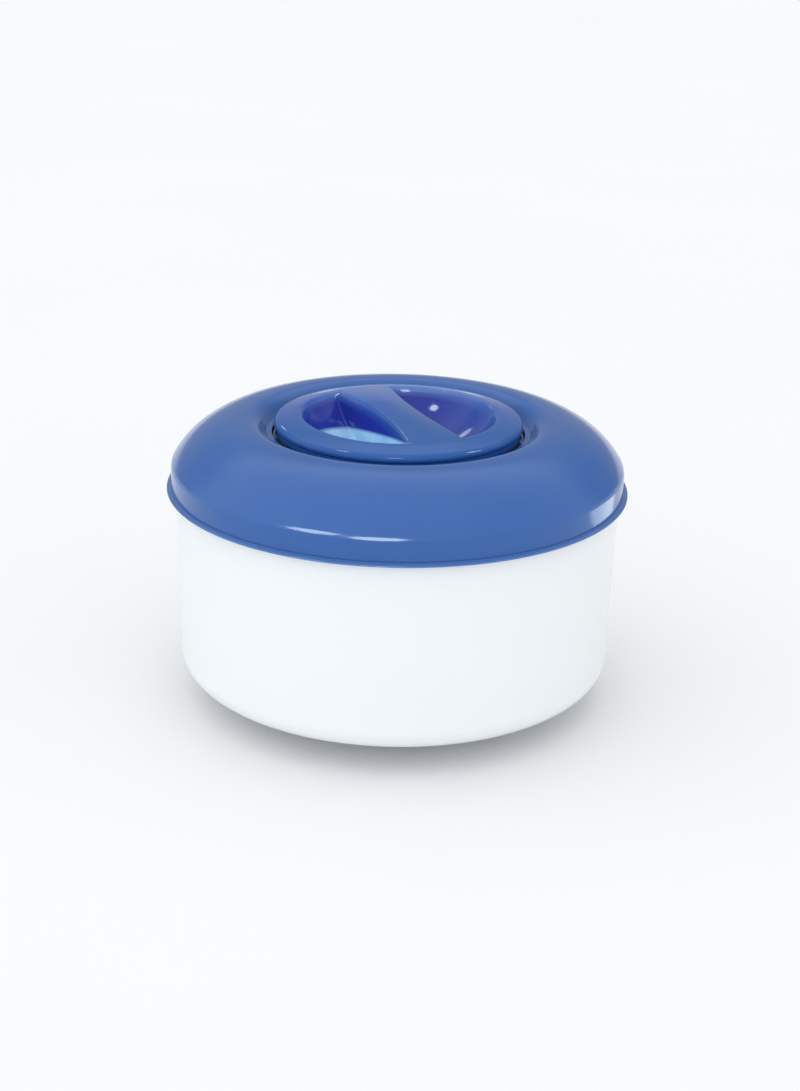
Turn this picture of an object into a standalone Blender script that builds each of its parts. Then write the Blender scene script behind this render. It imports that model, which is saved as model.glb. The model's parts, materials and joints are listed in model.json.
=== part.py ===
"""Floating chlorine dispenser for three-inch tablets, built piece by piece.

A hollow float (lid, rim ring and bowl) is closed in the middle by a tube. A slotted tablet basket
telescopes down through the tube, and a dial under it turns a slotted sleeve that opens and closes
the vents. A twist cap with a bayonet closes the top. A loose ring on the side takes a tether.

Origin: centre of the flat base, on the vertical axis. +Z up, +Y towards the tie ring. Metres.
"""

import math

import bmesh
import bpy
from mathutils import Vector

MM = 0.001

# ---------------------------------------------------------------- driving dimensions
RIM_RADIUS = 82.5 * MM          # widest point of the float: the rim ring
TABLET_RADIUS = 38.1 * MM       # three-inch tablet
BOWL_UNDERSIDE = 10.0 * MM      # height of the float's flat underside above the base
RIM_BOTTOM = 78.9 * MM          # lower edge of the rim ring
CROWN_HEIGHT = 103.5 * MM       # highest ring of the lid's dome
CROWN_RADIUS = 54.0 * MM
EXTENSION = 62.0 * MM           # travel of the telescoping basket
GAP = 0.3 * MM                  # gap between pieces that touch
RUNNING_GAP = 0.5 * MM          # gap between pieces that slide or turn

# ---------------------------------------------------------------- nested tubes, from inside out
SLEEVE_INNER = TABLET_RADIUS + 0.4 * MM
SLEEVE_OUTER = SLEEVE_INNER + 1.0 * MM
BASKET_INNER = SLEEVE_OUTER + 0.4 * MM
BASKET_OUTER = BASKET_INNER + 1.5 * MM
BUSH_INNER = BASKET_OUTER + RUNNING_GAP
BUSH_OUTER = BUSH_INNER + 0.8 * MM
BASKET_FLANGE = BUSH_OUTER - 0.2 * MM
TUBE_INNER = BUSH_OUTER + GAP
TUBE_OUTER = TUBE_INNER + 1.6 * MM
FLOAT_BORE = TUBE_OUTER + 0.4 * MM
TUBE_FLANGE = TUBE_OUTER + 3.9 * MM

# ---------------------------------------------------------------- float shells
SHELL_WALL = 2.0 * MM
SKIRT_RADIUS = RIM_RADIUS - 1.7 * MM
SKIRT_WALL = 1.65 * MM
RIM_RING_HEIGHT = 1.0 * MM
SKIRT_BOTTOM = RIM_BOTTOM + RIM_RING_HEIGHT + GAP
SHOULDER_ROUNDING = 4.5 * MM
SHOULDER_HEIGHT = SKIRT_BOTTOM + 6.4 * MM
RECESS_ROUNDING = 6.5 * MM
RECESS_FLOOR = CROWN_HEIGHT - 4.6 * MM
COLLAR_WALL = 2.0 * MM
GASKET_SEAT = SKIRT_BOTTOM + 7.9 * MM
SPIGOT_RADIUS = SKIRT_RADIUS - 2.0 * MM
BOWL_TOP_RADIUS = SPIGOT_RADIUS + 0.7 * MM
BOWL_LOW_RADIUS = BOWL_TOP_RADIUS - 1.1 * MM
BOWL_ROUNDING = 8.0 * MM
BOWL_WALL = 2.2 * MM
GASKET_HEIGHT = 1.6 * MM
SPIGOT_TOP = GASKET_SEAT - GAP - GASKET_HEIGHT - GAP

# ---------------------------------------------------------------- heights on the central tube
TUBE_BOTTOM = BOWL_UNDERSIDE + 0.6 * MM
LOWER_FLANGE = BOWL_UNDERSIDE + 4.5 * MM
UPPER_FLANGE = CROWN_HEIGHT - 14.5 * MM
FLANGE_THICKNESS = 2.0 * MM
SEAL_SECTION = 1.6 * MM
COLLAR_BOTTOM = UPPER_FLANGE + FLANGE_THICKNESS + SEAL_SECTION + 2 * GAP
TUBE_TOP = COLLAR_BOTTOM + 0.9 * MM

# ---------------------------------------------------------------- bayonet neck and cap
LEDGE_BOTTOM = TUBE_TOP + GAP
LEDGE_TOP = LEDGE_BOTTOM + 2.2 * MM
LINER_INNER = TABLET_RADIUS + 0.5 * MM
LINER_OUTER = LINER_INNER + 1.4 * MM
LEDGE_INNER = LINER_OUTER + 0.4 * MM
LUG_RADIUS = LINER_OUTER + 1.6 * MM
GATE_RADIUS = LUG_RADIUS + 0.4 * MM
CAP_SEAL_SECTION = 1.7 * MM
CAP_SEAL_RADIUS = GATE_RADIUS + 0.75 * MM
UPSTAND_INNER = CAP_SEAL_RADIUS + CAP_SEAL_SECTION / 2 + GAP
LINER_FLANGE = LEDGE_TOP + CAP_SEAL_SECTION + 2 * GAP
LINER_FLANGE_RADIUS = 43.8 * MM
LINER_TOP = LINER_FLANGE + 2.0 * MM
LINER_BOTTOM = LEDGE_BOTTOM - 2.4 * MM
LUG_TOP = LEDGE_BOTTOM - 0.4 * MM
LUG_BOTTOM = LINER_BOTTOM + 0.6 * MM
LUG_COUNT = 3
LUG_HALF_ANGLE = 12.0
GATE_HALF_ANGLE = 15.0
LOCK_ANGLE = 40.0               # clockwise turn, seen from above, from the gates to the stops

CAP_RADIUS = 44.4 * MM
CAP_THICKNESS = 1.6 * MM
CAP_EDGE_BOTTOM = LINER_TOP + GAP
CAP_EDGE_ROUNDING = 2.2 * MM
CAP_EDGE_BAND = 0.6 * MM        # upright band under the rounded edge
CAP_SHOULDER_RADIUS = 36.5 * MM
CAP_SHOULDER_HEIGHT = CAP_EDGE_BOTTOM + 4.0 * MM
CAP_DOME_RISE = 0.5 * MM
BAR_ANGLE = -67.0               # direction of the grip bar, degrees from +X
BAR_HALF_WIDTH = 7.2 * MM       # at the waist
BAR_FLARE = 3.6 * MM            # wider by this at the ends
BAR_EDGE_ROUNDING = 0.8 * MM
BAR_RISE = 1.4 * MM
BAR_WALL_SLOPE = 4.5            # fall of the bar's side walls, per unit of width
WELL_RADIUS = 34.2 * MM
WELL_DEPTH = 15.5 * MM
WELL_FLATNESS = 2.5             # the larger, the flatter the floor of the finger wells
WELL_STEEPNESS = 0.8            # the smaller, the steeper their rims
WELL_RIM_ROUNDING = 0.05
WELL_CORNER_ROUNDING = 1.5 * MM

# ---------------------------------------------------------------- basket, vents and dial
DIAL_FLOOR = 2.0 * MM
DIAL_RADIUS = 46.0 * MM
BUSH_FLANGE_BOTTOM = BOWL_UNDERSIDE - 1.8 * MM
DIAL_TOP = BUSH_FLANGE_BOTTOM - GAP
BUSH_FLANGE_RADIUS = 48.0 * MM
BASKET_BOTTOM = DIAL_FLOOR + GAP
BASKET_TOP = LINER_BOTTOM - 0.8 * MM
FLANGE_BOTTOM = BASKET_TOP - 3.7 * MM
BUSH_TOP = FLANGE_BOTTOM - EXTENSION - 0.6 * MM
BEAD_RADIUS = BASKET_OUTER + 1.0 * MM
BEAD_BOTTOM = BASKET_BOTTOM + 1.2 * MM
BEAD_TOP = BEAD_BOTTOM + 2.0 * MM
CLIP_BOTTOM = BEAD_TOP + 0.4 * MM
CLIP_TOP = CLIP_BOTTOM + 1.4 * MM
SLOT_COUNT = 12
SLOT_HALF_ANGLE = 4.7
SLOT_BOTTOM = 10.0 * MM
SLOT_TOP = 44.0 * MM
SLEEVE_TOP = SLOT_TOP + 2.5 * MM
KEY_COUNT = 3
KEY_OFFSET = 15.0               # the keys run between the slots
GRIP_COUNT = 12
GRIP_NOTCH = 2.0 * MM
DIAL_EDGE = 0.8 * MM
DIAL_HOLE = SLEEVE_INNER - 4.5 * MM
GRILLE_TOP = DIAL_FLOOR + GAP + 1.8 * MM
GRILLE_HUB = 9.0 * MM
GRILLE_HOLES = ((8, 16.5 * MM, 2.6 * MM), (12, 27.5 * MM, 3.2 * MM))   # count, circle, hole radius

# ---------------------------------------------------------------- tie ring
RING_RADIUS = 10.3 * MM
RING_WIRE = 1.25 * MM
RING_PIVOT = Vector((0.0, 84.4 * MM, 74.6 * MM))
LUG_PAD_BACK = 79.9 * MM
LUG_PAD_FRONT = LUG_PAD_BACK + 2.0 * MM
LUG_HOLE = 1.9 * MM
EAR_ROUNDING = 3.6 * MM
EAR_HALF_WIDTH = 1.5 * MM
PAD_HALF_WIDTH = 6.0 * MM
PAD_BOTTOM = RING_PIVOT.z - 7.5 * MM
PAD_TOP = RIM_BOTTOM - 0.8 * MM

# ---------------------------------------------------------------- fineness
OUTER_STEPS = 48
INNER_STEPS = 36
BAR_ROWS = 2                    # rows of faces over half the bar, down its wall and over a well
WALL_ROWS = 2
WELL_ROWS = 8
CAP_COLUMNS = 12
RING_SIDES = 6
TIE_TURNS = 24
TIE_SIDES = 8

BLUE = (0.055, 0.145, 0.440)
CAP_BLUE = (0.045, 0.095, 0.420)
DARK_BLUE = (0.020, 0.040, 0.220)
WHITE = (0.860, 0.890, 0.890)
INNER_WHITE = (0.740, 0.760, 0.770)
RUBBER = (0.030, 0.032, 0.035)
CLEAR_GREY = (0.420, 0.470, 0.540)


# ================================================================ helpers
def clear_scene():
    for old in list(bpy.data.objects):
        bpy.data.objects.remove(old, do_unlink=True)


def make_material(name, colour, roughness, metallic=0.0):
    material = bpy.data.materials.new(name)
    material.use_nodes = True
    shader = material.node_tree.nodes["Principled BSDF"]
    shader.inputs["Base Color"].default_value = (*colour, 1.0)
    shader.inputs["Roughness"].default_value = roughness
    shader.inputs["Metallic"].default_value = metallic
    material.diffuse_color = (*colour, 1.0)
    return material


def make_joint_empty(name, location):
    empty = bpy.data.objects.new(name, None)
    empty.location = location
    empty.empty_display_size = 10 * MM
    bpy.context.collection.objects.link(empty)
    return empty


def make_object(name, bm, material, parent=None, location=(0.0, 0.0, 0.0)):
    """Turn a finished bmesh into a named object whose mesh is given around its own origin."""
    bmesh.ops.remove_doubles(bm, verts=bm.verts[:], dist=1e-6)
    bmesh.ops.recalc_face_normals(bm, faces=bm.faces[:])
    mesh = bpy.data.meshes.new(name)
    bm.to_mesh(mesh)
    bm.free()
    mesh.shade_smooth()
    mesh.set_sharp_from_angle(angle=math.radians(35))
    mesh.materials.append(material)
    obj = bpy.data.objects.new(name, mesh)
    bpy.context.collection.objects.link(obj)
    obj.location = location
    if parent is not None:
        obj.parent = parent
    return obj


def make_cutter(name, bm, parent=None):
    """A solid that only shapes its neighbours through Boolean modifiers."""
    material = bpy.data.materials.get("guide") or make_material("guide", (0.8, 0.2, 0.2), 0.6)
    cutter = make_object(name, bm, material, parent)
    cutter.hide_render = True
    cutter.display_type = "WIRE"
    return cutter


def combine(obj, tool, operation):
    modifier = obj.modifiers.new(f"{operation.lower()} {tool.name}", "BOOLEAN")
    modifier.operation = operation
    modifier.object = tool
    modifier.solver = "EXACT"


def arc(centre, radius, start, end, steps):
    """Points of an arc in the (radius, height) half plane. Angles in degrees."""
    points = []
    for i in range(steps + 1):
        angle = math.radians(start + (end - start) * i / steps)
        points.append((centre[0] + radius * math.cos(angle), centre[1] + radius * math.sin(angle)))
    return points


def turned_mesh(outline, steps):
    """Spin a closed (radius, height) outline once around Z."""
    bm = bmesh.new()
    corners = [bm.verts.new((radius, 0.0, height)) for radius, height in outline]
    for i, corner in enumerate(corners):
        bm.edges.new((corners[i - 1], corner))
    bmesh.ops.spin(
        bm, geom=bm.verts[:] + bm.edges[:], cent=(0, 0, 0), axis=(0, 0, 1), dvec=(0, 0, 0),
        angle=2 * math.pi, steps=steps, use_merge=True, use_duplicate=False,
    )
    return bm


def turned(name, outline, steps, material, parent):
    return make_object(name, turned_mesh(outline, steps), material, parent)


def rectangle(inner, outer, bottom, top):
    return [(inner, bottom), (outer, bottom), (outer, top), (inner, top)]


def round_section(radius, height, section, sides):
    """Outline of a round cord section, for seals."""
    step = 180.0 / sides
    return arc((radius, height), section / 2, step, 360.0 - step, sides - 1)


def add_sector(bm, inner, outer, bottom, top, centre_angle, half_angle, steps=2):
    """Add one closed block of a ring: part of a tube wall between two angles, in degrees."""
    rings = []
    for i in range(steps + 1):
        angle = math.radians(centre_angle - half_angle + 2 * half_angle * i / steps)
        along = Vector((math.cos(angle), math.sin(angle), 0.0))
        corners = [along * r + Vector((0, 0, z)) for r, z in rectangle(inner, outer, bottom, top)]
        rings.append([bm.verts.new(corner) for corner in corners])
    for low, high in zip(rings, rings[1:]):
        for k in range(4):
            bm.faces.new((low[k - 1], low[k], high[k], high[k - 1]))
    bm.faces.new(rings[0])
    bm.faces.new(rings[-1][::-1])


def add_rod(bm, radius, length, circle, angle):
    """Add an upright six-sided rod, centred on the base plane, at an angle on a circle round Z."""
    rod = bmesh.ops.create_cone(bm, cap_ends=True, segments=6, radius1=radius, radius2=radius, depth=length)
    turn = math.radians(angle)
    place = Vector((circle * math.cos(turn), circle * math.sin(turn), 0.0))
    bmesh.ops.translate(bm, vec=place, verts=rod["verts"])


def sector_cutter(name, blocks, parent):
    """One cutter made of several ring blocks, each given as add_sector's arguments."""
    bm = bmesh.new()
    for block in blocks:
        add_sector(bm, *block)
    return make_cutter(name, bm, parent)


def spread(count, offset=0.0):
    return [offset + 360.0 * i / count for i in range(count)]


def smooth_step(value):
    value = min(max(value, 0.0), 1.0)
    return value * value * (3 - 2 * value)


# ================================================================ float
def build_float_lid(material, parent):
    """Domed ring: skirt, rounded shoulder, dome, recess round the cap and a collar on the tube."""
    shoulder = (SKIRT_RADIUS - SHOULDER_ROUNDING, SHOULDER_HEIGHT)
    width = shoulder[0] - CROWN_RADIUS
    height = CROWN_HEIGHT - shoulder[1]
    dome = (width ** 2 + height ** 2 - SHOULDER_ROUNDING ** 2) / (2 * (height - SHOULDER_ROUNDING))
    dome_centre = (CROWN_RADIUS, CROWN_HEIGHT - dome)
    join = math.degrees(math.atan2(shoulder[1] - dome_centre[1], width))
    recess_centre = (CROWN_RADIUS, CROWN_HEIGHT - RECESS_ROUNDING)
    inside_dome = dome - SHELL_WALL
    seat_inner = SPIGOT_RADIUS - 1.9 * MM
    seat_angle = math.degrees(math.acos((seat_inner - CROWN_RADIUS) / inside_dome))
    collar_outer = FLOAT_BORE + COLLAR_WALL

    outline = [(SKIRT_RADIUS, SKIRT_BOTTOM)]
    outline += arc(shoulder, SHOULDER_ROUNDING, 0, join, 3)
    outline += arc(dome_centre, dome, join, 90, 5)[1:]
    outline += arc(recess_centre, RECESS_ROUNDING, 90, 150, 3)[1:]
    outline += [(FLOAT_BORE + 2.0 * MM, RECESS_FLOOR), (FLOAT_BORE, RECESS_FLOOR)]
    outline += [(FLOAT_BORE, COLLAR_BOTTOM), (collar_outer, COLLAR_BOTTOM)]
    outline += [(collar_outer, RECESS_FLOOR - SHELL_WALL)]
    outline += arc(recess_centre, RECESS_ROUNDING - SHELL_WALL, 150, 90, 2)
    outline += arc(dome_centre, inside_dome, 90, seat_angle, 3)[1:]
    outline += [(seat_inner, GASKET_SEAT), (SKIRT_RADIUS - SKIRT_WALL, GASKET_SEAT)]
    outline += [(SKIRT_RADIUS - SKIRT_WALL, SKIRT_BOTTOM)]
    return turned("float_lid", outline, OUTER_STEPS, material, parent)


def build_rim_ring(material, parent):
    """Ring that closes the joint between lid and bowl and stands out as a lip."""
    edge = 0.3 * MM
    top = RIM_BOTTOM + RIM_RING_HEIGHT
    outline = [
        (SPIGOT_RADIUS + GAP, RIM_BOTTOM),
        (RIM_RADIUS - edge, RIM_BOTTOM),
        (RIM_RADIUS, RIM_BOTTOM + edge),
        (RIM_RADIUS, top - edge),
        (RIM_RADIUS - edge, top),
        (SPIGOT_RADIUS + GAP, top),
    ]
    return turned("rim_ring", outline, OUTER_STEPS, material, parent)


def build_float_bowl(material, parent):
    """Drafted bowl with a rounded bottom edge, a hole for the tube and a spigot for the lid."""
    corner = (BOWL_LOW_RADIUS - BOWL_ROUNDING, BOWL_UNDERSIDE + BOWL_ROUNDING)
    step = RIM_BOTTOM - GAP
    outline = [(FLOAT_BORE, BOWL_UNDERSIDE)]
    outline += arc(corner, BOWL_ROUNDING, -90, 0, 5)
    outline += [(BOWL_TOP_RADIUS, step), (SPIGOT_RADIUS, step), (SPIGOT_RADIUS, SPIGOT_TOP)]
    outline += [(SPIGOT_RADIUS - BOWL_WALL, SPIGOT_TOP)]
    outline += arc(corner, BOWL_ROUNDING - BOWL_WALL, 0, -90, 3)
    outline += [(FLOAT_BORE, BOWL_UNDERSIDE + BOWL_WALL)]
    return turned("float_bowl", outline, OUTER_STEPS, material, parent)


def build_seam_gasket(material, parent):
    outline = rectangle(
        SPIGOT_RADIUS - 1.8 * MM, SPIGOT_RADIUS, SPIGOT_TOP + GAP, SPIGOT_TOP + GAP + GASKET_HEIGHT,
    )
    return turned("seam_gasket", outline, OUTER_STEPS, material, parent)


def build_well_tube(material, parent):
    """Tube through the float, clamped between lid and bowl by its two flanges."""
    outline = [
        (TUBE_INNER, TUBE_BOTTOM),
        (TUBE_OUTER, TUBE_BOTTOM),
        (TUBE_OUTER, LOWER_FLANGE),
        (TUBE_FLANGE, LOWER_FLANGE),
        (TUBE_FLANGE, LOWER_FLANGE + FLANGE_THICKNESS),
        (TUBE_OUTER, LOWER_FLANGE + FLANGE_THICKNESS),
        (TUBE_OUTER, UPPER_FLANGE),
        (TUBE_FLANGE, UPPER_FLANGE),
        (TUBE_FLANGE, UPPER_FLANGE + FLANGE_THICKNESS),
        (TUBE_OUTER, UPPER_FLANGE + FLANGE_THICKNESS),
        (TUBE_OUTER, TUBE_TOP),
        (TUBE_INNER, TUBE_TOP),
    ]
    return turned("well_tube", outline, INNER_STEPS, material, parent)


def build_tube_seals(material, parent):
    floor_top = BOWL_UNDERSIDE + BOWL_WALL
    radius = TUBE_OUTER + SEAL_SECTION / 2 + 1.0 * MM
    heights = {
        "lower_tube_seal": (floor_top + LOWER_FLANGE) / 2,
        "upper_tube_seal": (UPPER_FLANGE + FLANGE_THICKNESS + COLLAR_BOTTOM) / 2,
    }
    for name, height in heights.items():
        turned(name, round_section(radius, height, SEAL_SECTION, RING_SIDES), INNER_STEPS, material, parent)


def build_neck_ring(material, parent):
    """Bayonet ring: a ledge with three gates, an upstand round the seal and three stops below."""
    outline = [
        (LEDGE_INNER, LEDGE_BOTTOM),
        (TUBE_OUTER, LEDGE_BOTTOM),
        (TUBE_OUTER, LEDGE_TOP + 1.2 * MM),
        (UPSTAND_INNER, LEDGE_TOP + 1.2 * MM),
        (UPSTAND_INNER, LEDGE_TOP),
        (LEDGE_INNER, LEDGE_TOP),
    ]
    ring = turned("neck_ring", outline, INNER_STEPS, material, parent)
    gates = []
    stops = []
    stop_angle = LOCK_ANGLE + LUG_HALF_ANGLE + 3.5
    for angle in spread(LUG_COUNT):
        gates.append((LEDGE_INNER - 2 * MM, GATE_RADIUS, LEDGE_BOTTOM - MM, LEDGE_TOP + MM,
                      angle, GATE_HALF_ANGLE, 3))
        stops.append((LEDGE_INNER + 0.2 * MM, TUBE_INNER - RUNNING_GAP, LUG_BOTTOM - 0.2 * MM,
                      LEDGE_BOTTOM + MM, angle - stop_angle, 2.0, 1))
    combine(ring, sector_cutter("neck_gates", gates, parent), "DIFFERENCE")
    combine(ring, sector_cutter("neck_stops", stops, parent), "UNION")
    return ring


def build_guide_bush(material, parent):
    """Lower guide of the basket: a thin sleeve with a flange under the float and three keys."""
    outline = [
        (BUSH_INNER, BUSH_FLANGE_BOTTOM),
        (BUSH_FLANGE_RADIUS, BUSH_FLANGE_BOTTOM),
        (BUSH_FLANGE_RADIUS, BOWL_UNDERSIDE - GAP),
        (BUSH_OUTER, BOWL_UNDERSIDE - GAP),
        (BUSH_OUTER, BUSH_TOP),
        (BUSH_INNER, BUSH_TOP),
    ]
    bush = turned("guide_bush", outline, INNER_STEPS, material, parent)
    keys = []
    for angle in spread(KEY_COUNT, KEY_OFFSET):
        keys.append((BASKET_OUTER - 0.4 * MM, BUSH_INNER + 0.3 * MM, BUSH_FLANGE_BOTTOM + 2.5 * MM,
                     BUSH_TOP - 0.5 * MM, angle, 1.8, 1))
    combine(bush, sector_cutter("bush_keys", keys, parent), "UNION")
    return bush


# ================================================================ tie ring
def build_tie_lug(material, parent):
    """Flat pad on the bowl's side with an upright ear, bored for the ring."""
    size = (2 * PAD_HALF_WIDTH, LUG_PAD_FRONT - LUG_PAD_BACK, PAD_TOP - PAD_BOTTOM)
    centre = (0.0, (LUG_PAD_FRONT + LUG_PAD_BACK) / 2, (PAD_TOP + PAD_BOTTOM) / 2)
    bm = bmesh.new()
    bmesh.ops.create_cube(bm, size=1.0)
    bmesh.ops.scale(bm, vec=size, verts=bm.verts[:])
    bmesh.ops.translate(bm, vec=centre, verts=bm.verts[:])
    lug = make_object("tie_lug", bm, material, parent)

    bm = bmesh.new()
    back = LUG_PAD_BACK + MM
    side = arc((RING_PIVOT.y, RING_PIVOT.z), EAR_ROUNDING, -90, 90, 6)
    side += [(back, RING_PIVOT.z + EAR_ROUNDING), (back, RING_PIVOT.z - EAR_ROUNDING - MM)]
    face = bm.faces.new([bm.verts.new((-EAR_HALF_WIDTH, y, z)) for y, z in side])
    swept = bmesh.ops.extrude_face_region(bm, geom=[face])
    moved = [item for item in swept["geom"] if isinstance(item, bmesh.types.BMVert)]
    bmesh.ops.translate(bm, vec=(2 * EAR_HALF_WIDTH, 0, 0), verts=moved)
    combine(lug, make_cutter("tie_ear", bm, parent), "UNION")

    bm = bmesh.new()
    bmesh.ops.create_cone(
        bm, cap_ends=True, segments=12, radius1=LUG_HOLE, radius2=LUG_HOLE, depth=8 * EAR_HALF_WIDTH,
    )
    bore = make_cutter("tie_bore", bm, parent)
    bore.location = RING_PIVOT
    bore.rotation_euler = (0.0, math.radians(90), 0.0)
    combine(lug, bore, "DIFFERENCE")
    return lug


def build_tie_ring(material, pivot):
    """Round ring hanging from the lug: its top passes through the ear's bore."""
    bm = bmesh.new()
    rows = []
    for i in range(TIE_TURNS):
        turn = 2 * math.pi * i / TIE_TURNS
        row = []
        for k in range(TIE_SIDES):
            side = 2 * math.pi * k / TIE_SIDES
            reach = RING_RADIUS + RING_WIRE * math.cos(side)
            height = reach * math.cos(turn) - RING_RADIUS
            row.append(bm.verts.new((reach * math.sin(turn), RING_WIRE * math.sin(side), height)))
        rows.append(row)
    for i in range(TIE_TURNS):
        for k in range(TIE_SIDES):
            bm.faces.new((rows[i - 1][k - 1], rows[i][k - 1], rows[i][k], rows[i - 1][k]))
    return make_object("tie_ring", bm, material, pivot)


# ================================================================ cap
def soft_ramp(value, rounding):
    """Zero below zero and the value itself above, with a rounded start."""
    if value <= -rounding:
        return 0.0
    if value >= rounding:
        return value
    return (value + rounding) ** 2 / (4 * rounding)


def soft_minimum(first, second, rounding):
    """The smaller of two depths, with a rounded corner where they meet."""
    blend = max(rounding - abs(first - second), 0.0) / rounding
    return min(first, second) - blend ** 2 * rounding / 4


def well_depth(along, across):
    """Depth of the finger wells: a round bowl, cut on both sides by the bar's steep walls."""
    inside = 1 - (math.hypot(along, across) / WELL_RADIUS) ** WELL_FLATNESS
    bowl = WELL_DEPTH * soft_ramp(inside, WELL_RIM_ROUNDING) ** WELL_STEEPNESS
    wall = BAR_WALL_SLOPE * soft_ramp(abs(across) - BAR_HALF_WIDTH, BAR_EDGE_ROUNDING)
    return max(soft_minimum(bowl, wall, WELL_CORNER_ROUNDING), 0.0)


def cap_point(along, across):
    """Point of the cap's top, given along and across the straight bar before it is flared."""
    inward = 1 - min(math.hypot(along, across) / CAP_SHOULDER_RADIUS, 1.0) ** 2
    ridge = BAR_RISE * inward * (1 - smooth_step(abs(across) / (BAR_HALF_WIDTH + 4 * MM)))
    height = CAP_SHOULDER_HEIGHT + CAP_DOME_RISE * inward + ridge - well_depth(along, across)
    fade = min(1.0, abs(across) / BAR_HALF_WIDTH) * min(1.0, 4 * inward)
    shifted = across + math.copysign(BAR_FLARE * (along / WELL_RADIUS) ** 2 * fade, across)
    turn = math.radians(BAR_ANGLE)
    return Vector((
        along * math.cos(turn) - shifted * math.sin(turn),
        along * math.sin(turn) + shifted * math.cos(turn),
        height,
    ))


def cap_rows():
    """Places of the rows of points, across the bar: closer together on its walls."""
    wall_foot = BAR_HALF_WIDTH + WELL_DEPTH / BAR_WALL_SLOPE
    rows = [BAR_HALF_WIDTH * i / BAR_ROWS for i in range(BAR_ROWS)]
    rows += [BAR_HALF_WIDTH + (wall_foot - BAR_HALF_WIDTH) * i / WALL_ROWS for i in range(WALL_ROWS)]
    start = math.asin(wall_foot / CAP_SHOULDER_RADIUS)
    for i in range(WELL_ROWS):
        side = start + (math.pi / 2 - start) * i / WELL_ROWS
        rows.append(CAP_SHOULDER_RADIUS * math.sin(side))
    return [-row for row in rows[:0:-1]] + rows


def build_cap_shell(material, parent):
    """Sheet with the two finger wells, thickened downwards into a shell.

    The middle is woven from rows parallel to the bar, each a chord of the shoulder circle. The
    rounded edge continues from the ends of the chords.
    """
    edge_centre = (CAP_RADIUS - CAP_EDGE_ROUNDING, CAP_EDGE_BOTTOM + CAP_EDGE_BAND)
    edge = arc(edge_centre, CAP_EDGE_ROUNDING, 75, 0, 3) + [(CAP_RADIUS, CAP_EDGE_BOTTOM)]
    bm = bmesh.new()
    first = bm.verts.new(cap_point(0.0, -CAP_SHOULDER_RADIUS))
    last = bm.verts.new(cap_point(0.0, CAP_SHOULDER_RADIUS))
    rows = []
    for across in cap_rows():
        reach = math.sqrt(CAP_SHOULDER_RADIUS ** 2 - across ** 2)
        places = [reach * (2 * k / CAP_COLUMNS - 1) for k in range(CAP_COLUMNS + 1)]
        rows.append([bm.verts.new(cap_point(along, across)) for along in places])
    for k in range(CAP_COLUMNS):
        bm.faces.new((first, rows[0][k + 1], rows[0][k]))
        bm.faces.new((last, rows[-1][k], rows[-1][k + 1]))
    for low, high in zip(rows, rows[1:]):
        for k in range(CAP_COLUMNS):
            bm.faces.new((low[k], low[k + 1], high[k + 1], high[k]))
    loop = [first] + [row[-1] for row in rows] + [last] + [row[0] for row in rows[::-1]]
    for radius, height in edge:
        circle = []
        for corner in loop:
            flat = corner.co.xy.normalized() * radius
            circle.append((flat.x, flat.y, height))
        outer = [bm.verts.new(place) for place in circle]
        for k in range(len(loop)):
            bm.faces.new((loop[k - 1], outer[k - 1], outer[k], loop[k]))
        loop = outer
    shell = make_object("cap_shell", bm, material, parent)
    thicken = shell.modifiers.new("wall", "SOLIDIFY")
    thicken.thickness = CAP_THICKNESS
    thicken.offset = -1.0
    thicken.use_even_offset = True
    thicken.use_rim = True
    return shell


def build_cap_liner(material, parent):
    """Ring under the cap: flange on the seal, skirt in the neck, three bayonet lugs."""
    outline = [
        (LINER_INNER, LINER_BOTTOM),
        (LINER_OUTER, LINER_BOTTOM),
        (LINER_OUTER, LINER_FLANGE),
        (LINER_FLANGE_RADIUS, LINER_FLANGE),
        (LINER_FLANGE_RADIUS, LINER_TOP),
        (LINER_INNER, LINER_TOP),
    ]
    liner = turned("cap_liner", outline, INNER_STEPS, material, parent)
    lugs = []
    for angle in spread(LUG_COUNT):
        lugs.append((LINER_OUTER - 0.6 * MM, LUG_RADIUS, LUG_BOTTOM, LUG_TOP, angle, LUG_HALF_ANGLE, 2))
    combine(liner, sector_cutter("liner_lugs", lugs, parent), "UNION")
    return liner


def build_cap_seal(material, parent):
    height = LEDGE_TOP + GAP + CAP_SEAL_SECTION / 2
    outline = round_section(CAP_SEAL_RADIUS, height, CAP_SEAL_SECTION, RING_SIDES)
    return turned("cap_seal", outline, INNER_STEPS, material, parent)


# ================================================================ basket and vents
def slot_blocks(inner, outer):
    blocks = []
    for angle in spread(SLOT_COUNT):
        blocks.append((inner, outer, SLOT_BOTTOM, SLOT_TOP, angle, SLOT_HALF_ANGLE, 1))
    return blocks


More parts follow.
